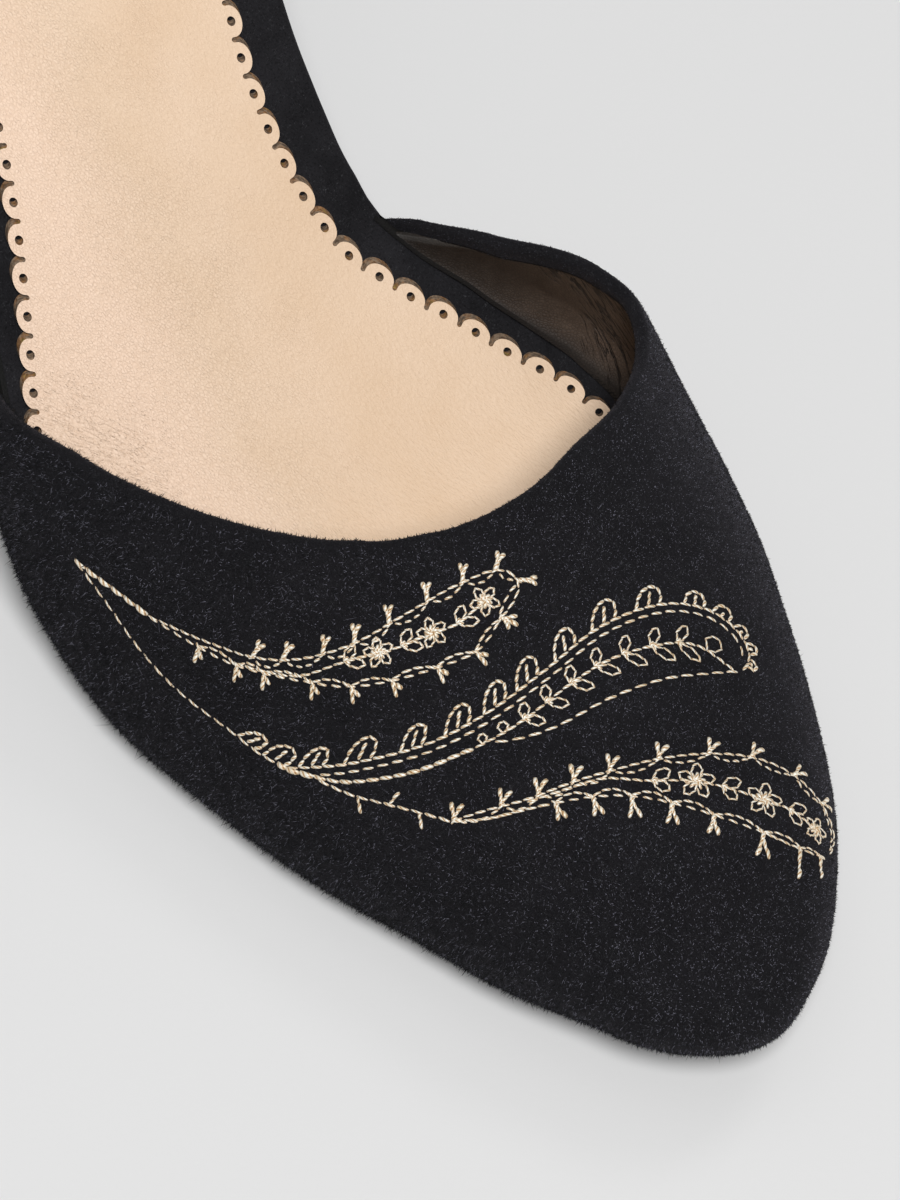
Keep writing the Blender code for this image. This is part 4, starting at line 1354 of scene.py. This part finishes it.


def lining_finish():
    """Thin dark leather, creased where the wall bends in wear, with painted shade near the throat corner, in
    its creases, down by the footbed and on the lateral side, and a painted highlight along the lip.
    """
    made = Finish("dark lining leather")
    chart = made.add("Attribute", attribute_name="chart").outputs["Vector"]
    slanted = made.place(1.0, (6.0, 0.8, 1.0), (0, 0, -0.95), chart, 1.0)
    wrinkles = made.noise(slanted, 2.0, 0.5, 0.35)
    creased = made.ramp(wrinkles, (0.42, 1.0), (0.47, 0.0), (0.52, 1.0))
    # The creases are plain at the waist and deepen towards the ball and up to the fold.
    x, y, z = made.axes(made.place(1.0))
    near_ball = made.math("MULTIPLY_ADD", x, 0.1, 0.98)
    near_ball = made.math("MULTIPLY_ADD", z, 0.069, near_ball)
    where = made.math("ADD", near_ball, made.math("SUBTRACT", made.noise(made.place(5.0), 1.0, 0.5), 0.5))
    share = made.ramp(where, (0.2, 0.0), (0.5, 1.0))
    creased = made.mix(share, colour(1.0), creased)
    pebbles = made.ramp(made.cells(made.place(0.42), 0.9), (0.0, 0.0), (0.22, 1.0))
    dust = made.noise(made.place(2.2), 4.0, 0.65)
    shown = made.ramp(dust, (0.3, (0.082, 0.054, 0.038)), (0.75, (0.124, 0.085, 0.061)))
    forward = made.math("MULTIPLY_ADD", x, 1 / THROAT_SHADE_LENGTH, 1.0)
    # Painted shade: darkest near the throat corner and fading out towards the ball.
    painted_throat_shade = made.ramp(forward, (0.0, 0.45), (0.22, 0.05), (0.33, 0.07), (0.43, 0.2), (0.55, 0.34), (0.78, 1.0))
    shown = made.darken(shown, painted_throat_shade)
    shown = made.darken(shown, pebbles, 0.3)
    # The crease lines are darkened in colour as well: painted shade in the creases.
    shown = made.darken(shown, creased, 0.8)
    # Painted shade down by the footbed and on the lateral side, and a painted highlight along the lip.
    round_share = made.axes(chart)[2]
    # Painted shade: the lining darkens down by the footbed, where shadow falls.
    low = made.ramp(round_share, (0.35, 1.0), (0.43, 0.2))
    shown = made.darken(shown, low)
    # Painted shade: the lining turns near black on the lateral side, which lies in shadow.
    painted_shade_lateral = made.math("MULTIPLY_ADD", y, -0.1, 0.0)
    shown = made.mix(made.ramp(painted_shade_lateral, (0.0, 0.0), (1.0, 0.75)), shown, colour(0.012))
    # Painted highlight: a thin paler glint line along the lip, kept faint near the throat corner.
    edge = made.math("MULTIPLY", made.ramp(round_share, (0.015, 0.5), (0.021, 0.0)),
                     made.ramp(forward, (0.3, 0.3), (0.5, 1.0)))
    shown = made.mix(edge, shown, colour(0.1, (1.0, 0.95, 0.9)))
    surface = made.bump(creased, 0.4, 0.8)
    surface = made.bump(pebbles, 0.05, 0.7, surface)
    rough = made.math("MAXIMUM", made.ramp(dust, (0.3, 0.55), (0.7, 0.72)), made.math("SUBTRACT", 1.0, low))
    return made.finish(Base_Color=shown, Roughness=rough, Specular_IOR_Level=0.3, Normal=surface)


CREASED_AT = (-29.0, -33.0)     # the sock is creased round here
CREASED_LONG = 13.0             # this far along
CREASED_WIDE = 11.0             # and this far across


def sock_finish():
    """Tan sock leather: fine grain that is plainest on the lateral side, creases where the foot bends it
    beside the throat, and a slow change of tone. Its creases and the furrows between its pebbles carry
    painted shade, and a painted sheen makes it paler towards the lateral edge."""
    made = Finish("tan sock leather")
    x, y, _ = made.axes(made.place(1.0))
    patches = made.noise(made.place(9.0), 3.0, 0.55)
    plain = made.math("MULTIPLY_ADD", y, -0.03, patches)
    plain = made.ramp(plain, (0.45, 0.3), (1.0, 1.0))
    pebbles = made.cells(made.place(0.36, (2.8, 1.0, 1.0), (0, 0, 0.33)), 0.95)
    grain = made.noise(made.place(0.42, (3.0, 1.0, 1.0), (0, 0, 0.33)), 3.0, 0.6)
    creases = made.noise(made.place(1.0, (0.45, 2.6, 1.0), (0, 0, -0.8)), 2.0, 0.5, 0.3)
    # The creases lie round one place, in a ragged oval.
    ahead = made.math("MULTIPLY_ADD", x, 1 / CREASED_LONG, -CREASED_AT[0] / CREASED_LONG)
    aside = made.math("MULTIPLY_ADD", y, 1 / CREASED_WIDE, -CREASED_AT[1] / CREASED_WIDE)
    away = made.math("ADD", made.math("MULTIPLY", ahead, ahead), made.math("MULTIPLY", aside, aside))
    away = made.math("ADD", away, made.math("MULTIPLY_ADD", patches, -2.4, 1.2))
    bent = made.ramp(away, (0.0, 1.0), (1.0, 0.1))
    # Tone: broad patches, and paler towards the lateral edge as a painted sheen.
    broad = made.noise(made.place(16.0), 3.0, 0.5)
    broad = made.math("MULTIPLY_ADD", plain, 0.3, broad)
    shown = made.ramp(broad, (0.4, (0.815, 0.59, 0.403)), (0.95, (0.895, 0.677, 0.497)))
    # Painted sheen: a paler tone towards the lateral edge.
    side = made.math("MULTIPLY_ADD", y, -0.035, made.math("MULTIPLY", patches, 0.3))
    shown = made.mix(made.ramp(side, (0.6, 0.0), (1.0, 1.0)), shown, colour(1.0, (0.975, 0.733, 0.56)))
    specks = made.ramp(grain, (0.33, (0.88, 0.83, 0.78)), (0.55, WHITE))
    shown = made.darken(shown, specks, made.math("MULTIPLY", plain, 0.3))
    lines = made.ramp(creases, (0.42, 1.0), (0.47, 0.0), (0.52, 1.0))
    lines = made.mix(bent, colour(1.0), lines)
    # Painted shade along the crease lines.
    crease_shade = made.ramp(lines, (0.0, (0.8, 0.64, 0.46)), (0.8, WHITE))
    shown = made.darken(shown, crease_shade, 0.2)
    # Painted shade in the furrows between the pebbles.
    furrow_shade = made.ramp(pebbles, (0.0, (0.80, 0.75, 0.69)), (0.17, WHITE))
    shown = made.darken(shown, furrow_shade, made.math("MULTIPLY", plain, 0.34))
    height = made.mix(plain, colour(1.0), made.ramp(pebbles, (0.0, 0.0), (0.25, 1.0)))
    surface = made.bump(height, 0.08, 0.7)
    surface = made.bump(grain, 0.28, 0.6, surface)
    surface = made.bump(lines, 0.08, 0.7, surface)
    rough = made.ramp(grain, (0.3, 0.6), (0.7, 0.45))
    return made.finish(Base_Color=shown, Roughness=rough, Specular_IOR_Level=0.35, Normal=surface)


def cut_edge_finish():
    """The raw edge of the sock: pressed layers, stained by the dye."""
    made = Finish("cut leather edge")
    layers = made.noise(made.place(0.6, (1.0, 1.0, 0.35)), 3.0, 0.6)
    stains = made.noise(made.place(1.6), 3.0, 0.6)
    base = made.ramp(stains, (0.32, (0.2, 0.13, 0.085)), (0.46, (0.36, 0.26, 0.18)),
                     (0.6, (0.42, 0.21, 0.09)), (0.72, (0.44, 0.34, 0.1)))
    shown = made.darken(base, made.ramp(layers, (0.4, 0.3), (0.58, 1.0)), 0.85)
    surface = made.bump(layers, 0.15, 0.9)
    return made.finish(Base_Color=shown, Roughness=0.8, Specular_IOR_Level=0.25, Normal=surface)


STRANDS = 2.0           # strands in a thread
TWIST = 1.15            # and how many pass in a millimetre of it


def thread_finish():
    """A bundle of satin filaments with a slow twist, with painted highlight on its strands' crests, painted
    shade in the grooves between them, and painted shade towards the ends of each stitch, where it dips into
    the suede.
    """
    made = Finish("gold embroidery thread")
    spot = made.add("Attribute", attribute_name="thread").outputs["Vector"]
    ends = made.add("Attribute", attribute_name="ends").outputs["Fac"]
    run, round_share, random_share = made.axes(spot)
    turned = made.math("MULTIPLY_ADD", round_share, STRANDS, random_share)
    twist = made.math("MULTIPLY_ADD", run, TWIST, turned)
    strand = made.math("SINE", made.math("MULTIPLY", twist, 2 * math.pi))
    height = made.math("MULTIPLY_ADD", strand, 0.5, 0.5)
    fibres = made.noise(made.place(0.12), 2.0, 0.6)
    # Painted highlight on the crests of the strands and painted shade in the grooves between them.
    shown = made.ramp(height, (0.05, (0.44, 0.25, 0.10)), (0.27, (1.0, 0.72, 0.41)),
                      (0.66, (1.0, 0.97, 0.86)))
    tone = made.ramp(random_share, (0.0, (0.88, 0.78, 0.64)), (0.5, WHITE))
    shown = made.darken(shown, tone)
    # Painted shade: each stitch darkens towards its ends.
    painted_end_shade = made.ramp(ends, (0.7, WHITE), (0.97, (0.36, 0.22, 0.10)))
    shown = made.darken(shown, painted_end_shade)
    shown = made.darken(shown, made.ramp(fibres, (0.32, 0.5), (0.55, 1.0)), 0.4)
    surface = made.bump(made.math("POWER", height, 0.6), 0.06, 0.7)
    return made.finish(Base_Color=shown, Roughness=0.35, Specular_IOR_Level=1.0,
                       Coat_Weight=1.0, Coat_Roughness=0.35, Normal=surface,
                       Sheen_Weight=0.9, Sheen_Roughness=0.5, Sheen_Tint=(1.0, 0.88, 0.68, 1.0))


TREAD_PITCH = 2.0       # from rib to rib


def sole_finish():
    """Black sole unit: a scuffed edge, and a tread of fine ribs across the walking face."""
    made = Finish("black sole")
    scratches = made.noise(made.place(1.0, (9.0, 0.8, 2.0), (0, 0, 0.12)), 4.0, 0.6)
    grain = made.noise(made.place(0.6), 5.0, 0.7)
    wear = made.noise(made.place(16.0), 3.0, 0.6)
    shown = made.ramp(wear, (0.35, grey(0.012)), (0.7, grey(0.03, (1.0, 0.95, 0.9))))
    lines = made.ramp(scratches, (0.56, 0.0), (0.7, 0.35))
    shown = made.mix(lines, shown, colour(0.07, (1.0, 0.95, 0.88)))
    forward = made.axes(made.place(1.0))[0]
    facing = made.axes(made.add("NewGeometry").outputs["Normal"])[2]
    below = made.ramp(made.math("MULTIPLY", facing, -1.0), (0.7, 0.0), (0.9, 1.0))
    ribs = made.math("SINE", made.math("MULTIPLY", forward, 2 * math.pi / TREAD_PITCH))
    surface = made.bump(made.math("MULTIPLY", ribs, below), 0.2, 1.0)
    surface = made.bump(grain, 0.12, 0.6, surface)
    surface = made.bump(scratches, 0.1, 0.4, surface)
    rough = made.ramp(grain, (0.3, 0.5), (0.7, 0.72))
    return made.finish(Base_Color=shown, Roughness=rough, Specular_IOR_Level=0.4, Normal=surface)


def rubber_finish():
    """Hard rubber of the heel's top piece, stippled and scuffed."""
    made = Finish("black heel rubber")
    stipple = made.noise(made.place(0.3), 2.0, 0.5)
    scuffs = made.noise(made.place(0.8, (5.0, 1.0, 1.5), (0, 0, 0.5)), 3.0, 0.6)
    shown = made.ramp(scuffs, (0.4, grey(0.012)), (0.75, grey(0.04, (1.0, 0.98, 0.94))))
    surface = made.bump(stipple, 0.08, 0.6)
    rough = made.ramp(scuffs, (0.35, 0.6), (0.7, 0.82))
    return made.finish(Base_Color=shown, Roughness=rough, Specular_IOR_Level=0.35, Normal=surface)


def floor_finish():
    """Plain pale floor with a faint tooth."""
    made = Finish("matt studio floor")
    cloud = made.noise(made.place(300.0), 3.0, 0.5)
    tooth = made.noise(made.place(1.0), 2.0, 0.5)
    shown = made.ramp(cloud, (0.3, grey(0.80)), (0.7, grey(0.81)))
    return made.finish(Base_Color=shown, Roughness=0.9, Specular_IOR_Level=0.1,
                       Normal=made.bump(tooth, 0.05, 0.3))


# ---- the shoe ---------------------------------------------------------------------------------------

BLACK_TINT = (1.0, 0.94, 1.13)      # black suede is a little violet

upper_suede = suede("black suede", 0.008, 0.012, BLACK_TINT)
heel_suede = suede("black heel suede", 0.008, 0.012, BLACK_TINT)
bed_suede = suede("smooth black suede", 0.009, 0.020, (1.0, 0.96, 1.1), fleck=0.34, fine=1.3)
fibres = fibre_finish("suede fibres", 0.007, 0.31, (0.94, 0.93, 1.16))
lining = lining_finish()
thread = thread_finish()

vamp = vamp_walls()
counter = counter_walls()
vamp_outer, vamp_fold = suede_shell("vamp_suede", vamp, upper_suede, "vamp")
counter_outer, counter_fold = suede_shell("counter_suede", counter, upper_suede, "counter")
lining_shell("vamp_lining", vamp, lining)
lining_shell("counter_lining", counter, lining)
make_footbed(bed_suede)
make_sock([sock_finish(), cut_edge_finish()])
make_outsole(sole_finish())
heel_face = make_heel(heel_suede)
make_top_piece(rubber_finish())

for name, sew_motif, seed in (("embroidery_back", sew_back_feather, 11),
                              ("embroidery_middle", sew_middle_leaf, 12),
                              ("embroidery_front", sew_front_feather, 13)):
    first = len(stitches)
    sew_motif()
    make_stitches(name, stitches[first:], thread, seed)

ends = np.concatenate([[start, (start + end) / 2, end] for start, end, _ in stitches])
near_thread = kdtree.KDTree(len(ends))
for index, point in enumerate(ends):
    near_thread.insert(point, index)
near_thread.balance()

nap("vamp_nap", [vamp_outer], 58000, fibres, seed=21, length=0.36, rise=(15, 75),
    thick=0.08, shades=(0.0, 0.78), keep_off=near_thread)
nap("vamp_nap_over", [vamp_outer], 52000, fibres, seed=24, length=0.28, rise=(25, 80),
    thick=0.06, shades=(0.35, 1.0), keep_off=near_thread)
nap("vamp_fringe", [vamp_outer], 22000, fibres, seed=28, length=0.5, rise=(20, 70),
    thick=0.05, shades=(0.0, 0.5), keep_off=near_thread)
nap("vamp_hairs", [vamp_outer], 1800, fibres, seed=25, length=0.65, rise=(4, 25),
    thick=0.04, shades=(0.75, 0.92), wild=1.5, keep_off=near_thread)
nap("fold_nap", [vamp_fold, counter_fold], 19000, fibres, seed=27, length=0.26,
    rise=(15, 70), thick=0.07, shades=(0.0, 0.7))
nap("counter_nap", [counter_outer], 30000, fibres, seed=22, length=0.4,
    thick=0.075, shades=(0.0, 0.95))
nap("counter_hairs", [counter_outer], 1200, fibres, seed=26, length=0.7, rise=(4, 25),
    thick=0.04, shades=(0.75, 0.92), wild=1.5)
nap("heel_nap", [heel_face], 15000, fibres, seed=23, length=0.45, shades=(0.0, 0.95))


# ---- floor, light and camera --------------------------------------------------------------------------

FLOOR_HALF = 4.0        # metres, as all of this section is
CAMERA_PLACE = (0.4440, -0.2519, 0.8810)
CAMERA_AHEAD = (-0.43365, 0.24885, -0.86603)    # the way the camera looks
CAMERA_RIGHT = (0.4977, 0.8673, 0.0)            # and the way its picture's right side lies


def make_floor():
    form = bmesh.new()
    bmesh.ops.create_grid(form, x_segments=12, y_segments=12, size=FLOOR_HALF)
    mesh = mesh_from(form)
    mesh.name = "floor"
    mesh.materials.append(floor_finish())
    floor = bpy.data.objects.new("floor", mesh)
    bpy.context.scene.collection.objects.link(floor)


def aim(thing, place, target):
    """Puts a lamp at a place, turned to its target."""
    thing.location = place
    thing.rotation_euler = (Vector(target) - Vector(place)).to_track_quat("-Z", "Y").to_euler()
    bpy.context.scene.collection.objects.link(thing)


def area_light(name, place, size, power):
    """A round soft lamp over the shoe."""
    lamp = bpy.data.lights.new(name, "AREA")
    lamp.shape = "DISK"
    lamp.size = size
    lamp.energy = power
    aim(bpy.data.objects.new(name, lamp), place, target=(0.0, 0.0, 0.05))


make_floor()
area_light("softbox", place=(1.17, -0.42, 2.6), size=0.85, power=67.5)
area_light("overhead", place=(-0.15, 0.15, 2.9), size=2.4, power=4.5)
area_light("inner", place=(-0.2, 0.9, 1.3), size=0.5, power=1.5)

world = bpy.data.worlds.new("studio")
bpy.context.scene.world = world
world.use_nodes = True
backdrop = world.node_tree.nodes["Background"]
backdrop.inputs["Color"].default_value = colour(1.0)
backdrop.inputs["Strength"].default_value = 0.125

camera_data = bpy.data.cameras.new("camera")
camera_data.lens = 230.9
camera_data.sensor_width = 36.0
camera_data.clip_end = 20.0
camera = bpy.data.objects.new("camera", camera_data)
bpy.context.scene.collection.objects.link(camera)
right = Vector(CAMERA_RIGHT).normalized()
ahead = Vector(CAMERA_AHEAD).normalized()
camera.rotation_euler = Matrix((right, right.cross(ahead), -ahead)).transposed().to_euler()
camera.location = CAMERA_PLACE
bpy.context.scene.camera = camera
bpy.context.scene.view_settings.view_transform = "Standard"
